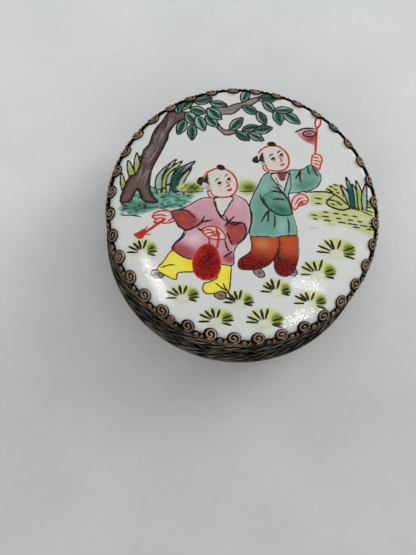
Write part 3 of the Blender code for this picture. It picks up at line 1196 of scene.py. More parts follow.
# %% Leaves
for x, y, direction, length, wide in (
    (-14.1, 22.0, 88, 3.9, 0.9), (-13.1, 23.1, 56, 4.0, 1.0), (-10.5, 25.0, 16, 4.2, 1.0),
    (-7.0, 24.9, -8, 3.8, 0.9), (-12.5, 20.5, -112, 4.2, 1.0), (-11.0, 19.2, -90, 4.0, 1.0),
    (-12.2, 22.4, -57, 3.9, 1.3), (-10.0, 21.4, -66, 4.2, 1.1), (-11.4, 23.4, -18, 3.8, 1.1),
    (-8.0, 21.5, -48, 3.9, 1.1), (-7.6, 23.4, -43, 4.2, 1.2), (-2.7, 17.9, 48, 4.3, 1.0),
    (-1.5, 17.5, -36, 3.7, 1.0), (1.2, 17.3, -28, 3.9, 1.0), (0.0, 18.0, 16, 3.7, 0.9),
    (2.6, 17.7, 15, 4.2, 1.0), (0.2, 25.3, 68, 3.8, 1.0), (3.8, 26.3, 5, 4.2, 1.2),
    (0.2, 24.2, -30, 4.0, 1.0), (3.5, 22.8, -62, 3.7, 1.1), (4.9, 25.8, -52, 3.9, 1.0),
    (7.8, 23.8, -82, 4.3, 1.1), (9.2, 22.9, -36, 4.6, 1.0), (7.3, 23.4, 4, 4.2, 0.85),
):
    leaf(x, y, direction, length, wide)
tell("leaves are")

# %% Grass by the tree, and two bushes
for points, tone, width in (
    ([(-18.1, 2.6), (-17.7, 6.4), (-14.3, 10.6)], leaf_pale, 1.7),
    ([(-17.0, 2.4), (-16.2, 6.8), (-13.0, 10.2)], grass_green, 1.5),
    ([(-16.2, 2.4), (-15.9, 6.0), (-14.6, 8.4)], leaf_pale, 1.1),
    ([(-14.5, 2.6), (-14.2, 6.8), (-10.2, 10.1)], leaf_deep, 1.8),
    ([(-13.6, 2.6), (-13.2, 5.4), (-11.0, 8.6)], leaf_pale, 1.2),
):
    blade(points, tone, width)
strokes([
    [(-19.8, 4.2), (-18.6, 3.4), (-17.0, 3.6), (-16.0, 4.6), (-15.2, 2.8), (-13.6, 2.8)],
    [(-17.6, 5.6), (-17.0, 7.4), (-15.6, 9.4)],
    [(-14.4, 5.0), (-13.8, 7.0), (-12.2, 9.2)],
], 0.26)
for x, y, length, width in ((-11.4, 3.7, 2.8, 1.2), (0.6, 4.0, 1.9, 1.8)):
    wash(oval(x, y, length, width), grass_pale, soft=0.4)
    shade(x + 0.5, y, 2.0, 1.4, 0, grass_vivid, 1.0)
    shade(x + 0.6, y - 0.1, 1.9, 1.2, 0, grass_dark, 0.95)
    stroke([(x - length, y - 0.9), (x, y - 1.0), (x + length, y - 0.8)], 0.24)
for i in range(11):
    x = -13.6 + 0.5 * i + 0.3 * scatter.random()
    stroke([(x, 3.2 + 0.5 * (i % 3)), (x + 0.4, 3.6 + 0.5 * (i % 3))], 0.2)
tell("grass and bushes are")

# %% The ground at the right
right_ground = [(13.5, -2.0), (14.6, -1.2), (17.6, -0.8), (19.4, -0.2), (17.6, 0.6), (14.6, 0.4), (14.6, 3.2),
                (17.6, 3.5), (22.0, 3.4), (27.6, 1.6), (28.2, -5.6), (26.0, -5.6), (22.6, -4.4), (19.4, -3.4),
                (14.8, -2.9)]
far_rock = [(17.9, 3.4), (17.8, 4.4), (18.8, 5.1), (20.2, 5.6), (21.2, 5.3), (21.5, 3.9), (21.7, 2.0),
            (20.4, 2.8)]
near_rock = [(19.6, 3.0), (17.8, 1.3), (18.4, 0.3), (19.9, -0.3), (21.6, -0.4), (23.2, 0.2), (21.4, 2.0)]
last_rock = [(25.8, 0.0), (26.3, 1.3), (27.2, 2.1), (28.2, 1.0), (28.4, -1.2), (27.0, -0.9)]
wash(right_ground, ground_green, soft=0.45)
for i in range(16):
    x, y = 14.4 + 12.6 * scatter.random(), -1.2 - 3.8 * scatter.random()
    dab([(x - 1.2, y + 0.1), (x, y), (x + 1.2, y - 0.15)], 0.4, grass_green if i % 2 else porcelain, 0.55)
for rock in (far_rock, near_rock, last_rock):
    wash(rock, grass_pale, grass_green, depth=0.6, soft=0.25)
shade(20.6, 1.0, 1.3, 0.7, 0, grass_vivid, 0.9, near_rock)
stroke([(13.2, 3.2), (15.4, 3.5), (18.2, 3.6), (19.7, 3.1), (21.2, 2.1), (22.5, 0.9), (23.2, 0.4)], 0.32)
stroke([(19.7, 3.1), (17.9, 1.3), (18.4, 0.4), (19.9, -0.2), (21.5, -0.4), (23.1, 0.1), (24.9, -0.2),
        (28.0, -1.3)], 0.34)
stroke([(20.9, 5.5), (21.4, 4.4), (21.7, 2.4)], 0.26)
stroke([(26.3, 1.2), (27.2, 2.1), (28.0, 1.4)], 0.24)
for x, y in ((18.4, 4.2), (19.0, 4.9), (20.0, 5.4), (19.9, 4.3), (19.0, 3.8), (20.4, 3.6), (19.4, 1.7),
             (20.2, 1.4), (19.2, 0.8), (20.8, 0.9), (26.6, 0.5), (27.4, 0.6), (26.9, -0.2), (27.7, -0.4),
             (26.8, 1.4)):
    stroke([(x - 0.4, y + 0.12), (x + 0.5, y - 0.12)], 0.3)
for start, end, y in ((15.2, 18.2, 2.0), (15.2, 17.6, 0.8), (16.8, 25.0, -1.1), (14.2, 27.4, -1.9),
                      (14.6, 27.4, -2.8), (20.4, 27.6, -3.3), (23.2, 28.0, -4.2)):
    x = start
    while x < end:
        length = 1.1 + 1.0 * scatter.random()
        low = y - 0.09 * (x - start)
        stroke([(x, low), (x + length / 2, low - 0.02), (x + length, low - 0.14)], 0.28, taper=0.8)
        x += length + 0.6 + 0.8 * scatter.random()
for points, tone, width in (
    ([(23.3, 0.2), (22.6, 3.0), (21.2, 5.6)], leaf_pale, 1.2),
    ([(23.7, 0.2), (23.4, 4.0), (22.5, 7.6)], leaf_deep, 1.3),
    ([(24.5, 0.2), (24.6, 3.0), (23.8, 6.0)], ground_teal, 1.1),
    ([(25.3, -0.2), (25.4, 3.6), (24.7, 7.0)], grass_green, 1.3),
    ([(26.3, -0.2), (26.4, 3.0), (27.0, 6.4)], leaf_pale, 1.3),
):
    blade(points, tone, width)
shade(23.5, 0.7, 0.7, 0.6, 0, leaf_deep, 0.6)
tell("the ground at the right is")


# %% Tufts of grass in front
def tuft(x, y, wide, high):
    """A tuft of grass: a pale oval, a vivid patch at its right and dark blades that spread from its foot."""
    def on_tuft(points):
        return [(x + wide * u, y + high * v) for u, v in points]

    wash(oval(x, y, wide, high), grass_pale, soft=0.35)
    shade(x - 0.15 * wide, y - 0.5 * high, 0.85 * wide, 0.6 * high, 0, porcelain, 0.85)
    wash(oval(x + 0.64 * wide, y - 0.06 * high, 0.34 * wide, 0.62 * high), grass_vivid, soft=0.3, hides=False)
    shade(x + 0.68 * wide, y - 0.1 * high, 0.3 * wide, 0.5 * high, 0, grass_dark, 0.35)
    for u, v in ((0.46, -0.1), (0.56, 0.24), (0.66, -0.38), (0.84, -0.1), (0.74, 0.12)):
        dab(on_tuft([(u - 0.16, v - 0.08), (u + 0.18, v + 0.06)]), 0.28, grass_dark, 0.75)
    for direction, start, width in ((178, 0.34, 0.38), (151, 0.34, 0.42), (127, 0.32, 0.46), (103, 0.3, 0.5),
                                    (77, 0.32, 0.46), (24, 0.5, 0.36), (3, 0.42, 0.34), (-16, 0.44, 0.4)):
        turn = (direction + 9 * (scatter.random() - 0.5)) * DEGREE
        end = 0.98 + 0.2 * scatter.random()
        reaches = (start, (start + end) / 2, end)
        path = [(-0.08 + r * math.cos(turn), -0.45 + 1.3 * r * math.sin(turn)) for r in reaches]
        stroke(on_tuft(path), width, taper=0.45, start=0.75)


for x, y, wide, high in (
    (-21.2, -9.9, 2.8, 1.9), (19.8, -9.3, 3.9, 2.3), (15.6, -14.2, 3.7, 2.2), (-12.8, -19.7, 3.2, 1.9),
    (6.6, -18.4, 2.9, 1.9), (13.8, -20.6, 3.2, 1.9), (-1.2, -20.8, 2.8, 1.8), (-5.9, -24.6, 3.3, 1.9),
    (4.2, -24.8, 3.7, 2.1),
):
    tuft(x, y, wide, high)
tell("tufts are")

# %% [markdown]
# ### The two boys
#
# The boys are drawn from the back forwards too: trousers, then the robe, its folds, the sleeves, the
# hands and the head. A face follows the rules that every drawing book gives: the eyes stand half-way down
# the head, the nose ends a little above half-way from there to the chin, and the mouth lies about a third
# of the way below it. Both boys share one head, drawn round (0, 0) and placed at two sizes and tilts.

# %% Heads and hands
head_shape = [(-0.98, 0.1), (-0.86, 0.62), (-0.4, 0.97), (0.2, 0.98), (0.74, 0.66), (0.97, 0.08),
              (0.9, -0.42), (0.62, -0.84), (0.18, -1.0), (-0.34, -0.84), (-0.8, -0.44)]
ear_shape = [(-0.74, -0.2), (-0.88, -0.12), (-0.98, -0.34), (-0.86, -0.66), (-0.72, -0.6), (-0.78, -0.4)]
knot_shape = [(-1, -0.1), (-0.6, 0.75), (0.1, 1), (0.85, 0.6), (1, -0.2), (0.4, -0.85), (-0.5, -0.8)]
mouth_shape = [(-0.19, 0.01), (-0.08, 0.07), (0.01, 0.05), (0.1, 0.07), (0.19, 0.01), (0.08, -0.09),
               (-0.07, -0.09)]
face_middle = 0.3


def head(x, y, radius, lean):
    """A child's head, turned a little to the right, so that its face's middle line is off the head's."""
    def on_head(points):
        return placed(points, x, y, lean, radius)

    outline = on_head(head_shape)
    wash(outline, skin, soft=0.08)
    for across, up, strength in ((0.42, -0.42, 0.4), (-0.44, -0.46, 0.35)):
        cheek_x, cheek_y = on_head([(face_middle + across, up)])[0]
        shade(cheek_x, cheek_y, 0.7, 0.5, lean, blush, strength, outline)
    stroke(on_head([(-0.72, 0.8)] + head_shape[2:10] + [(-0.66, -0.6)]), 0.34, iron_red, taper=0.3)
    wash(on_head(ear_shape), skin, soft=0.08)
    stroke(on_head(ear_shape), 0.26, iron_red, closed=True)
    for side, far in ((-1, 1.0), (1, 0.84)):
        eye = face_middle + side * 0.34 * far
        stroke(on_head([(eye - 0.18 * far, 0.24), (eye, 0.34), (eye + 0.2 * far, 0.3)]), 0.24)
        stroke(on_head([(eye - 0.2 * far, -0.02), (eye, 0.1), (eye + 0.2 * far, 0.02)]), 0.24)
        blot(on_head(placed(knot_shape, eye + 0.01, 0.01, 0, 0.085)))
        stroke(on_head([(eye - 0.16 * far, -0.1), (eye, -0.13), (eye + 0.16 * far, -0.08)]), 0.2, iron_red)
    nose = [(0.02, 0.08), (0.12, -0.26), (0.1, -0.36), (-0.12, -0.37)]
    stroke(on_head(placed(nose, face_middle, 0)), 0.26, iron_red)
    blot(on_head(placed(mouth_shape, face_middle, -0.61)), iron_red)
    for u, v in ((-0.64, 0.34), (-0.7, 0.2), (-0.72, 0.06), (-0.72, -0.08)):
        stroke(on_head([(u - 0.28, v - 0.04), (u, v), (u + 0.16, v + 0.06)]), 0.16, taper=0.9)


def hair_knot(x, y, wide, high, lean):
    blot(placed(knot_shape, x, y, lean, high, wide / high))


def side_hair(root, middle, tip):
    """Six fine strokes that spread from the knot behind the ear over the temple."""
    for i in range(6):
        stroke([(root[0] + 0.05 * i, root[1] + 0.1 * i), (middle[0], middle[1] + 0.28 * i),
                (tip[0] - 0.05 * i, tip[1] + 0.46 * i)], 0.27, taper=0.75)


def hand(outline, fingers):
    """A pale hand: its outline, and the lines between its fingers."""
    wash(outline, skin, blush, depth=0.3, soft=0.08)
    stroke(outline, 0.28, iron_red, closed=True)
    strokes(fingers, 0.3, pigment=iron_red, taper=0.4)


print("a head is drawn through", len(head_shape), "points")

# %% The boy in green: trousers and shoes
left_trouser = [(1.4, -7.0), (4.2, -7.2), (7.5, -7.1), (7.4, -8.8), (6.8, -10.6), (6.0, -12.2), (4.6, -13.6),
                (2.4, -14.4), (0.4, -14.6), (-1.2, -14.2), (-1.4, -12.8), (-0.6, -11.9), (1.0, -10.8),
                (1.5, -9.4)]
right_trouser = [(7.5, -7.0), (10.9, -6.5), (11.4, -8.8), (11.3, -11.2), (10.8, -13.4), (10.2, -14.6),
                 (8.6, -15.8), (7.0, -15.4), (6.2, -14.0), (6.2, -12.0), (6.8, -10.6), (7.4, -8.8)]
for x, y, length, width, lean in ((2.9, -15.1, 1.35, 0.85, -40), (10.1, -14.9, 0.9, 0.8, 10)):
    wash(oval(x, y, length, width, lean), shoe, soft=0.15)
    stroke(oval(x, y, length, width, lean), 0.22, closed=True)
    shade(x + 0.1, y, 0.6, 0.45, lean, bark_deep, 0.9)
for trouser, x, pale in ((left_trouser, 3.6, 0.8), (right_trouser, 8.8, 0.0)):
    wash(trouser, trouser_orange, trouser_rust, depth=0.45)
    shade(x, -8.8, 1.8, 1.4, 0, trouser_pale, pale, trouser)
    fade((x + 1.0, -9.0), (x, -13.4), trouser_red, trouser)
    stroke(trouser, 0.21, closed=True)
stroke([(7.5, -10.0), (6.9, -11.6), (7.6, -12.8)], 0.3)
stroke([(6.9, -11.2), (8.2, -12.4), (9.0, -12.8)], 0.26)
tell("his trousers are")

# %% The boy in green: robe and sleeves
robe = [(5.0, 7.4), (4.0, 6.4), (3.0, 4.2), (1.9, 2.0), (1.2, -0.2), (1.7, -2.2), (1.5, -4.2), (1.1, -6.2),
        (1.5, -7.2), (4.2, -7.1), (6.4, -7.3), (8.2, -6.9), (10.7, -6.7), (11.2, -6.0), (10.9, -4.2),
        (10.4, -2.2),
        (10.0, 0.0), (9.6, 2.6), (10.2, 4.6), (10.0, 8.0), (8.8, 7.8), (6.8, 7.6)]
raised_sleeve = [(9.6, 8.0), (12.6, 8.6), (14.7, 9.9), (15.6, 9.2), (16.6, 8.0), (16.9, 6.6), (16.0, 4.8),
                 (14.4, 3.8), (12.8, 3.4), (10.6, 3.0), (9.2, 3.4)]
near_sleeve = [(4.2, 2.2), (6.2, 3.2), (8.4, 3.4), (9.2, 2.0), (9.8, 0.6), (10.2, -1.0), (10.4, -2.0),
               (8.6, -2.2), (6.8, -1.6), (5.2, -0.6), (4.4, 0.8)]
collar = [(6.0, 7.2), (7.2, 4.8), (8.5, 3.2), (9.1, 4.8), (9.6, 6.4), (9.6, 7.7)]
hand([(10.2, 0.6), (10.8, 2.0), (12.2, 2.9), (13.6, 2.3), (13.8, 1.2), (13.0, 0.4), (11.8, 0.0), (10.9, -0.9),
      (10.3, -0.4)], [[(10.9, 0.2), (11.8, 1.6), (12.8, 2.0)], [(11.6, 0.1), (12.2, 1.0), (13.5, 1.3)],
                      [(12.0, 0.6), (12.9, 0.7)]])
wash(raised_sleeve, robe_teal, robe_teal_pale, depth=0.3)
fade((12.4, 6.0), (9.8, 5.4), robe_teal_pale, raised_sleeve, 0.9)
shades(raised_sleeve, [
    (13.0, 4.9, 2.9, 1.2, 14, robe_teal_deep, 0.5),
    (14.8, 8.4, 1.2, 1.0, 0, robe_teal_deep, 0.4),
])
stroke(raised_sleeve, 0.21, closed=True)
strokes([
    [(12.8, 8.9), (11.8, 7.4), (11.2, 6.2)],
    [(12.6, 8.2), (12.2, 6.8), (12.6, 5.4)],
    [(14.1, 9.4), (14.1, 8.4), (14.4, 7.6)],
    [(15.0, 9.6), (15.8, 8.0), (16.4, 7.2)],
], 0.32, taper=0.8)
wash(robe, robe_teal, robe_teal_pale, depth=0.35)
shades(robe, [
    (3.2, -1.6, 3.8, 1.4, 76, robe_teal_deep, 0.12),
    (5.6, -4.2, 2.4, 1.6, 84, robe_teal_deep, 0.15),
    (8.0, -4.8, 2.6, 1.4, 84, robe_teal_pale, 0.75),
    (4.6, 4.4, 2.4, 1.2, 62, robe_teal_pale, 0.5),
    (9.6, 4.6, 1.0, 2.4, 0, robe_teal_pale, 0.8),
])
stroke(robe, 0.21, closed=True)
shade(8.2, 7.2, 1.5, 1.4, 0, robe_rose, 0.8)
wash(collar, skin, soft=0.08)
wash([(7.3, 7.7), (9.3, 7.8), (9.1, 6.5), (8.4, 5.9), (7.6, 6.4)], neck_rose, soft=0.25)
stroke(collar, 0.24, closed=True)
stroke([(7.6, 6.3), (8.4, 5.9), (9.1, 6.4)], 0.26)
stroke([(6.6, 7.0), (7.6, 5.0), (8.8, 3.6)], 0.2)
wash(near_sleeve, robe_teal, robe_teal_deep, depth=0.25)
shades(near_sleeve, [
    (7.9, -0.9, 3.3, 1.3, -24, robe_teal_deep, 0.9),
    (6.4, 1.6, 2.0, 0.8, -10, robe_teal_deep, 0.45),
])
strokes([
    [(4.0, 2.0), (4.6, 0.2), (5.4, -0.9), (7.0, -2.0), (8.6, -2.3), (10.4, -2.0)],
    [(5.4, -0.9), (4.4, -2.4), (3.5, -4.0)],
    [(5.3, -1.2), (5.1, -2.8), (5.0, -4.2)],
    [(6.4, -2.0), (6.5, -3.8), (6.3, -5.5)],
    [(3.4, 2.6), (3.9, 0.9), (5.1, -0.8)],
    [(5.6, 3.3), (7.2, 3.2), (8.6, 2.6)],
    [(6.1, 1.3), (7.6, 1.5), (9.0, 1.2)],
    [(6.2, 4.3), (7.6, 3.8), (8.8, 2.4), (9.2, 1.6)],
    [(9.2, -2.6), (9.5, -4.6), (9.3, -6.8)],
    near_sleeve[3:7],
], 0.32, taper=0.75)
tell("his robe is")

# %% The boy in green: flag, hand and head
stroke([(15.9, 12.6), (16.3, 16.0), (16.7, 19.5)], 0.42, iron_red, taper=0.1)
stroke(oval(17.0, 20.8, 1.35, 0.6, 76), 0.36, iron_red, closed=True)
flag = [(16.6, 19.2), (14.8, 19.3), (13.0, 18.8), (11.7, 18.1), (12.4, 17.0), (13.4, 16.0), (15.0, 15.2),
        (16.3, 15.0)]
shades(flag, [
    (13.8, 17.4, 4.2, 2.8, 12, robe_pink, 1.0),
    (15.2, 16.4, 3.0, 2.0, 12, robe_rose, 1.0),
])
stroke([(11.6, 17.9), (13.8, 19.0), (16.4, 19.1)], 0.36)
stroke(oval(14.9, 17.7, 1.45, 0.75, 6), 0.3, closed=True)
stroke([(14.1, 17.5), (14.8, 17.8), (15.6, 17.7)], 0.24)
hand([(15.0, 10.0), (15.2, 12.0), (15.9, 12.7), (17.0, 12.4), (17.4, 11.2), (17.0, 10.2), (16.6, 8.9),
      (15.8, 9.4)],
     [[(15.5, 11.9), (16.6, 11.7)], [(15.5, 11.1), (16.9, 10.9)], [(15.6, 10.4), (16.5, 10.0)]])
hair_knot(3.1, 10.7, 1.25, 0.9, 20)
head(6.7, 11.0, 3.3, 29)
hair_knot(6.3, 14.6, 1.0, 0.65, -4)
side_hair((3.3, 10.5), (4.0, 10.4), (4.6, 10.2))
tell("the boy in green is")

# %% The boy in pink: trousers and shoes
left_yellow = [(-15.0, -10.4), (-17.0, -12.9), (-18.2, -14.4), (-16.9, -15.6), (-14.4, -16.7), (-14.0, -15.4),
               (-12.4, -15.1), (-10.4, -14.9), (-9.8, -12.6), (-12.4, -11.9)]
right_yellow = [(-5.6, -13.2), (-3.1, -13.4), (-3.0, -16.0), (-3.5, -19.4), (-5.0, -19.2), (-6.6, -19.7),
                (-8.0, -19.7), (-8.8, -18.8), (-8.5, -17.6), (-7.4, -17.2), (-5.8, -16.2)]
for x, y, length, width, lean in ((-18.2, -15.5, 1.3, 0.8, -20), (-5.2, -20.0, 1.25, 0.85, -15)):
    wash(oval(x, y, length, width, lean), shoe, soft=0.15)
    stroke(oval(x, y, length, width, lean), 0.24, closed=True)
    shade(x + 0.2, y - 0.1, 0.7, 0.45, lean, bark_deep, 0.9)
for trouser, x, y in ((left_yellow, -13.0, -13.4), (right_yellow, -4.4, -16.0)):
    wash(trouser, trouser_yellow, trouser_gold, depth=0.4)
    shade(x + 1.6, y, 1.8, 1.2, 0, trouser_gold, 0.9, trouser)
    stroke(trouser, 0.21, closed=True)
stroke([(-17.6, -14.2), (-15.8, -13.6), (-14.4, -13.6)], 0.24)
strokes([
    [(-6.2, -17.4), (-5.0, -18.4), (-3.7, -19.2)],
    [(-4.6, -17.4), (-4.2, -18.4), (-3.6, -19.2)],
], 0.26)
stroke([(-3.8, -18.8), (-3.0, -20.4), (-2.0, -21.6)], 0.3)
tell("his trousers are")

# %% The boy in pink: robe and cuffs
pink_robe = [(-6.9, 1.5), (-9.2, 1.2), (-12.4, -0.8), (-15.5, -1.9), (-14.6, -3.6), (-13.8, -5.2),
             (-12.4, -5.9), (-12.9, -7.6), (-14.8, -9.2), (-15.0, -10.3), (-12.0, -12.2), (-8.0, -12.6),
             (-5.0, -13.4), (-2.5, -13.5), (-2.3, -10.8), (-1.6, -9.2), (0.2, -7.4), (1.3, -4.4),
             (1.3, -1.6), (0.6, 0.6), (-1.0, 1.8), (-2.4, 2.2)]
left_cuff = [(-15.6, -1.9), (-14.0, -1.4), (-12.0, -1.6), (-10.3, -2.6), (-9.8, -4.0), (-10.7, -5.3),
             (-12.0, -5.8), (-13.4, -5.4), (-14.8, -3.6)]
right_cuff = [(-3.9, -4.4), (-2.4, -4.1), (-0.2, -4.4), (0.3, -6.2), (-0.7, -8.2), (-2.5, -9.2), (-3.2, -8.0),
              (-3.8, -6.2)]
pink_collar = [(-6.2, 1.3), (-5.9, -1.0), (-4.7, -2.7), (-4.1, -1.8), (-3.2, -0.2), (-2.4, 1.7)]
hand([(-15.4, -1.8), (-17.4, -1.6), (-18.8, -2.0), (-19.4, -3.0), (-18.6, -3.4), (-19.0, -4.2), (-17.8, -4.2),
      (-16.8, -4.4), (-15.4, -4.2), (-14.6, -3.6)],
     [[(-19.2, -2.7), (-17.6, -2.5), (-16.4, -2.8)], [(-18.8, -3.6), (-17.6, -3.2), (-16.4, -3.5)],
      [(-16.2, -4.0), (-15.0, -3.2), (-14.8, -2.8)]])
stroke([(-16.9, -3.6), (-18.6, -4.8), (-20.8, -6.4)], 0.5, iron_red, taper=0.1)
blot([(-23.3, -6.8), (-22.2, -6.2), (-21.0, -5.6), (-20.9, -6.8), (-21.2, -7.6), (-22.2, -7.8)], iron_red)
stroke([(-21.4, -6.4), (-20.6, -5.4), (-20.3, -5.0)], 0.24, iron_red)
stroke([(-21.4, -6.6), (-20.2, -6.8), (-19.6, -6.9)], 0.24, iron_red)

wash(pink_robe, robe_pink, robe_blush, depth=0.3)
fade((-11.4, -8.8), (-13.6, -11.4), robe_rose, pink_robe)
shades(pink_robe, [
    (-12.4, -10.2, 2.6, 1.3, -32, robe_rose, 0.9),
    (-9.6, -11.4, 2.4, 1.2, -20, robe_rose, 0.7),
    (-3.2, -12.2, 1.9, 1.6, 0, robe_rose, 1.0),
    (-10.4, -7.8, 2.4, 1.6, 20, robe_blush, 0.9),
    (-9.4, -4.2, 1.8, 1.0, 30, robe_rose, 0.45),
    (-6.4, -4.4, 1.8, 1.2, 0, robe_rose, 0.4),
    (-1.4, 0.2, 1.2, 1.6, 0, robe_blush, 0.4),
])
stroke(pink_robe, 0.21, closed=True)
for cuff, x, y in ((left_cuff, -12.8, -3.6), (right_cuff, -1.8, -6.4)):
    wash(cuff, cuff_red, robe_rose, depth=0.5, soft=0.45)
    shade(x, y, 1.6, 1.2, 0, cuff_warm, 0.6, cuff)
stroke(left_cuff[:3] + [(-11.2, -2.4), (-10.4, -3.2)], 0.28)
stroke([(-15.4, -2.0), (-14.4, -4.0), (-13.4, -5.3), (-12.2, -5.9), (-11.2, -5.6), (-9.6, -4.7),
        (-8.6, -3.2)], 0.34)
stroke(right_cuff[:6], 0.28)
wash(pink_collar, skin, soft=0.08)
stroke(pink_collar, 0.24, closed=True)
strokes([
    [(-8.3, -2.6), (-9.2, -4.3), (-10.6, -5.5)],
    [(-6.6, -3.6), (-8.4, -4.0), (-9.9, -4.6)],
    [(-10.0, -5.4), (-9.2, -6.0), (-8.4, -6.6)],
    [(-6.1, 0.8), (-5.8, -1.2), (-5.0, -2.8), (-3.4, -4.2)],
    [(-2.0, -2.6), (-3.2, -3.9), (-4.3, -5.2)],
    [(-4.2, -2.4), (-3.4, -3.9), (-3.1, -4.4)],
    [(-3.4, -4.2), (-2.2, -4.6), (-1.0, -4.4)],
    [(-3.8, -6.2), (-3.2, -7.8), (-2.6, -9.2)],
    [(-4.2, -8.0), (-3.8, -9.6), (-3.2, -10.8)],
    [(-4.6, -12.0), (-3.4, -11.2), (-2.6, -10.6)],
    [(-12.6, -5.9), (-13.2, -7.4), (-14.8, -9.2), (-15.0, -10.3)],
], 0.34, taper=0.75)
tell("his robe is")

# %% The boy in pink: drum and head
drum_shape = [(0.05, 1.0), (0.58, 0.78), (0.9, 0.25), (1.0, -0.3), (0.68, -0.82), (0.0, -1.02), (-0.7, -0.8),
              (-1.02, -0.25), (-0.9, 0.3), (-0.52, 0.8)]
drum = placed(drum_shape, -7.9, -12.9, -4, 3.9, 0.74)
hand([(-9.0, -5.9), (-7.8, -5.2), (-6.6, -5.1), (-5.4, -5.5), (-4.4, -6.6), (-4.0, -7.8), (-5.2, -8.0),
      (-6.6, -7.9), (-8.0, -7.3)],
     [[(-8.7, -6.1), (-7.4, -5.8), (-6.2, -6.4)], [(-8.2, -6.7), (-7.0, -6.5), (-5.9, -7.0)],
      [(-7.4, -7.3), (-6.6, -7.1), (-5.9, -7.4)], [(-5.6, -6.0), (-5.2, -7.0)]])
stroke([(-6.0, -5.6), (-5.5, -7.6), (-5.8, -9.8)], 0.4, iron_red, taper=0.2)
stroke([(-7.6, -7.6), (-7.4, -8.6), (-7.6, -9.6)], 0.36, iron_red, taper=0.2)
wash(drum, drum_red, drum_rim, depth=0.5)
shade(-9.4, -11.6, 1.6, 1.0, 60, drum_glow, 0.8, drum)
for i in range(60):
    x = -7.9 + 5.0 * (scatter.random() - 0.5)
    y = -12.9 + 7.0 * (scatter.random() - 0.5)
    shade(x, y, 0.6, 0.42, 0, drum_glow if i % 2 else drum_red, 0.36, drum)
stroke(drum, 0.2, iron_red, closed=True)
hair_knot(-9.0, 5.3, 1.1, 1.0, 15)
head(-5.0, 4.8, 3.6, 27)
hair_knot(-4.9, 8.6, 0.95, 0.7, -20)
side_hair((-8.8, 5.1), (-8.0, 5.0), (-7.3, 4.8))
tell("the boy in pink is")

# %% [markdown]
# ## Glaze over paint
#
# The layers become attributes of the mesh. The material takes the paint as its colour, and where an ink
# distance is below zero it takes the ink instead, with a little noise so that a line wavers as a brush
# does. A glaze is smooth and glassy. Its faint ripple, and fine pits where it shines less, break a lamp's
# reflection into grains.

# %% Glaze
glaze, tree, shader = new_material("painted_porcelain")
place = object_place(tree)
painted = add_node(tree, "ShaderNodeAttribute", attribute_name="paint").outputs["Color"]
waver = add_range(tree, add_noise(tree, place, 0.5 * MM, detail=2.0), 0.2, 0.8, -0.07, 0.07, smooth=False)
body_clouds = add_noise(tree, place, 9 * MM, detail=3.0)
mottle = add_noise(tree, place, 0.7 * MM, detail=4.0)
cloudy = add_range(tree, body_clouds, 0.3, 0.7, 0.965, 1.0)
mottled = add_range(tree, mottle, 0.3, 0.7, 0.96, 1.02)
tone = add_math(tree, "MULTIPLY", cloudy, mottled)
grey = add_node(tree, "ShaderNodeCombineColor", [("Red", tone), ("Green", tone), ("Blue", tone)])
colour = add_mix(tree, 1.0, painted, grey.outputs["Color"], blend="MULTIPLY")
for name, line_tone in (("iron_red", line_red), ("ink", line_black)):
    distance = add_node(tree, "ShaderNodeAttribute", attribute_name=name).outputs["Fac"]
    drawn = add_range(tree, add_math(tree, "ADD", distance, waver), -0.05, 0.05, 1.0, 0.0)
    colour = add_mix(tree, drawn, colour, (*line_tone, 1))
tree.links.new(colour, shader.inputs["Base Color"])
shader.inputs["Roughness"].default_value = 0.05
pits = add_noise(tree, place, 0.36 * MM, detail=1.0)
tree.links.new(add_range(tree, pits, 0.45, 0.57, 0.3, 0.01), shader.inputs["Specular IOR Level"])
ripple = add_noise(tree, place, 0.3 * MM, detail=2.0)
bump = add_node(tree, "ShaderNodeBump", [("Height", ripple), ("Strength", 0.8), ("Distance", 0.007 * MM)])
tree.links.new(bump.outputs["Normal"], shader.inputs["Normal"])

print("glaze over paint:", glaze.name)

# %% Carry the picture to the plaque
colours = bm.verts.layers.float_color.new("paint")
blacks = bm.verts.layers.float.new("ink")
reds = bm.verts.layers.float.new("iron_red")
for vert, tones, black, red in zip(bm.verts, paint.tolist(), ink.tolist(), iron_red.tolist()):
    vert[colours] = (*tones, 1)
    vert[blacks] = black
    vert[reds] = red
plaque = finish_piece("painted_plaque", bm, glaze, ["porcelain_plaque"], sharp=60 * DEGREE,
                      merge=0.00001 * MM)

# %% [markdown]
# ## A flat map of the plaque
#
# A map for baking has to show each face once, without overlaps. Seen from above, the dome and its edge
# unroll into one disc, as long as the edge is pushed outwards as it goes down. The underside is a
# second, smaller disc, since nothing is painted there.

# %% Unroll the plaque
top_middle = 0.42
top_radius = 0.41
under_middle = 0.83
under_radius = 0.155
mesh = plaque.data
places = points_of(mesh)
radius = np.hypot(places[:, 0], places[:, 1])
spread = radius + np.maximum(rim_height - places[:, 2], 0)
corners = np.empty(len(mesh.loops), dtype=int)
mesh.loops.foreach_get("vertex_index", corners)
sizes = np.empty(len(mesh.polygons), dtype=int)
mesh.polygons.foreach_get("loop_total", sizes)
normals = np.empty(len(mesh.polygons) * 3)
mesh.polygons.foreach_get("normal", normals)
under = np.repeat(normals.reshape(-1, 3)[:, 2] < -0.5, sizes)
outwards = places[:, :2] / np.maximum(radius, 1e-9)[:, None]
top_map = top_middle + top_radius * outwards * (spread / spread.max())[:, None]
under_map = under_middle + under_radius * places[:, :2] / radius.max()
layer = mesh.uv_layers.new(name="OFBake")
layer.data.foreach_set("uv", np.where(under[:, None], under_map[corners], top_map[corners]).ravel())
print("the map has", len(corners), "corners,", int(under.sum()), "of them underneath")
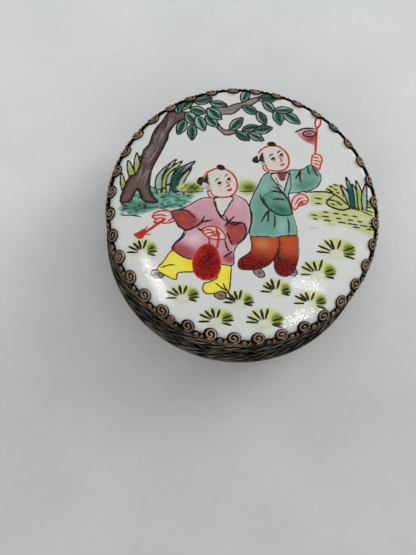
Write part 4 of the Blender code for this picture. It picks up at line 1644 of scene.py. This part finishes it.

# %% [markdown]
# ## The table and the light
#
# The box stands on a pale grey cloth under soft daylight from above. The cloth's colour is painted a little
# darker towards the viewer, as painted shade. Three small lamps show only as highlights in the glaze and on
# the metal, and don't light the cloth. A lamp shows in a mirror where its ray would bounce into the camera,
# so
# each is hung by that rule: the dome's normal at the wished place turns the camera's direction into the
# lamp's.

# %% Table
cloth, tree, shader = new_material("cloth")
place = object_place(tree)
weave = add_noise(tree, place, 1.5 * MM, detail=5.0)
blotches = add_noise(tree, place, 25 * MM, detail=2.0)
painted_shade_y = add_node(tree, "ShaderNodeSeparateXYZ", [("Vector", place)]).outputs["Y"]
tone = add_math(tree, "MULTIPLY", add_range(tree, weave, 0.3, 0.7, 0.97, 1.0),
                add_range(tree, blotches, 0.3, 0.7, 0.94, 1.0))
# Painted shade: the cloth's colour darkens towards the viewer, at low Y.
tone = add_math(tree, "MULTIPLY", tone, add_range(tree, painted_shade_y, -44 * MM, 12 * MM, 0.78, 1.0))
base_tone = add_mix(tree, tone, (0, 0, 0, 1), (0.69, 0.7, 0.705, 1))
tree.links.new(base_tone, shader.inputs["Base Color"])
shader.inputs["Roughness"].default_value = 0.8

table_half = 0.6
bm = bmesh.new()
bmesh.ops.create_grid(bm, x_segments=4, y_segments=4, size=table_half)
table = add_object("table", mesh_from("table", bm))
table.data.materials.append(cloth)
print("the table is", 2 * table_half, "m wide")


# %% Hanging a lamp
lamp_distance = 0.5


def hang_lamp(name, location, target, wide, long, power, tone=(1, 1, 1), turn=0.0):
    """A rectangular lamp at a place, facing a target. turn rolls it about the way it faces."""
    lamp = bpy.data.lights.new(name, "AREA")
    lamp.shape = "RECTANGLE"
    lamp.size, lamp.size_y = wide, long
    lamp.energy = power
    lamp.color = tone
    holder = add_object(name, lamp)
    holder.location = location
    facing = (Vector(target) - Vector(location)).to_track_quat("-Z", "Y")
    holder.rotation_euler = (facing.to_matrix() @ Matrix.Rotation(turn * DEGREE, 3, "Z")).to_euler()
    return holder


def mirrored_place(x, y):
    """Where a lamp has to hang for its reflection to lie at (x, y) mm on the dome, and that point."""
    off = math.hypot(x, y)
    radius = off * MM
    point = Vector((x * MM, y * MM, dome_height(radius)))
    slope = dome_rise * dome_power / rim_radius * (radius / rim_radius) ** (dome_power - 1)
    normal = Vector((x * slope / off, y * slope / off, 1)).normalized()
    to_camera = (camera.location - point).normalized()
    return point + to_camera.reflect(normal) * -lamp_distance, point


print("lamps for the glaze hang", lamp_distance, "m away")

# %% The room and its lamps
world = bpy.data.worlds.new("room")
world.use_nodes = True
tree = world.node_tree
ray = add_node(tree, "ShaderNodeTexCoord").outputs["Generated"]
height = add_node(tree, "ShaderNodeSeparateXYZ", [("Vector", ray)]).outputs["Z"]
sky = add_mix(tree, add_range(tree, height, 0.0, 0.6), (0.45, 0.46, 0.48, 1), (0.94, 0.955, 0.965, 1))
tree.links.new(sky, tree.nodes["Background"].inputs["Color"])
tree.nodes["Background"].inputs["Strength"].default_value = 0.84
bpy.context.scene.world = world

hang_lamp("window", (0.62, 0.42, 0.42), (0, 0, 0), 0.4, 0.4, 2.8, (1.0, 0.99, 0.96))
hang_lamp("front_lamp", (-0.16, -0.62, 0.2), (0, -0.02, 0.015), 0.12, 0.05, 0.35, (1.0, 0.95, 0.88))
for name, x, y, wide, long, power, turn in (
    ("left_lamp", -18.7, -16.2, 0.01, 0.098, 0.16, -30),
    ("right_lamp", 12.8, -17.0, 0.06, 0.022, 0.08, 53),
    ("low_lamp", 10.6, -24.2, 0.062, 0.02, 0.1, -53),
):
    place, point = mirrored_place(x, y)
    lamp = hang_lamp(name, place, point, wide, long, power, turn=turn)
    lamp.visible_diffuse = False
print("five lamps are hung")
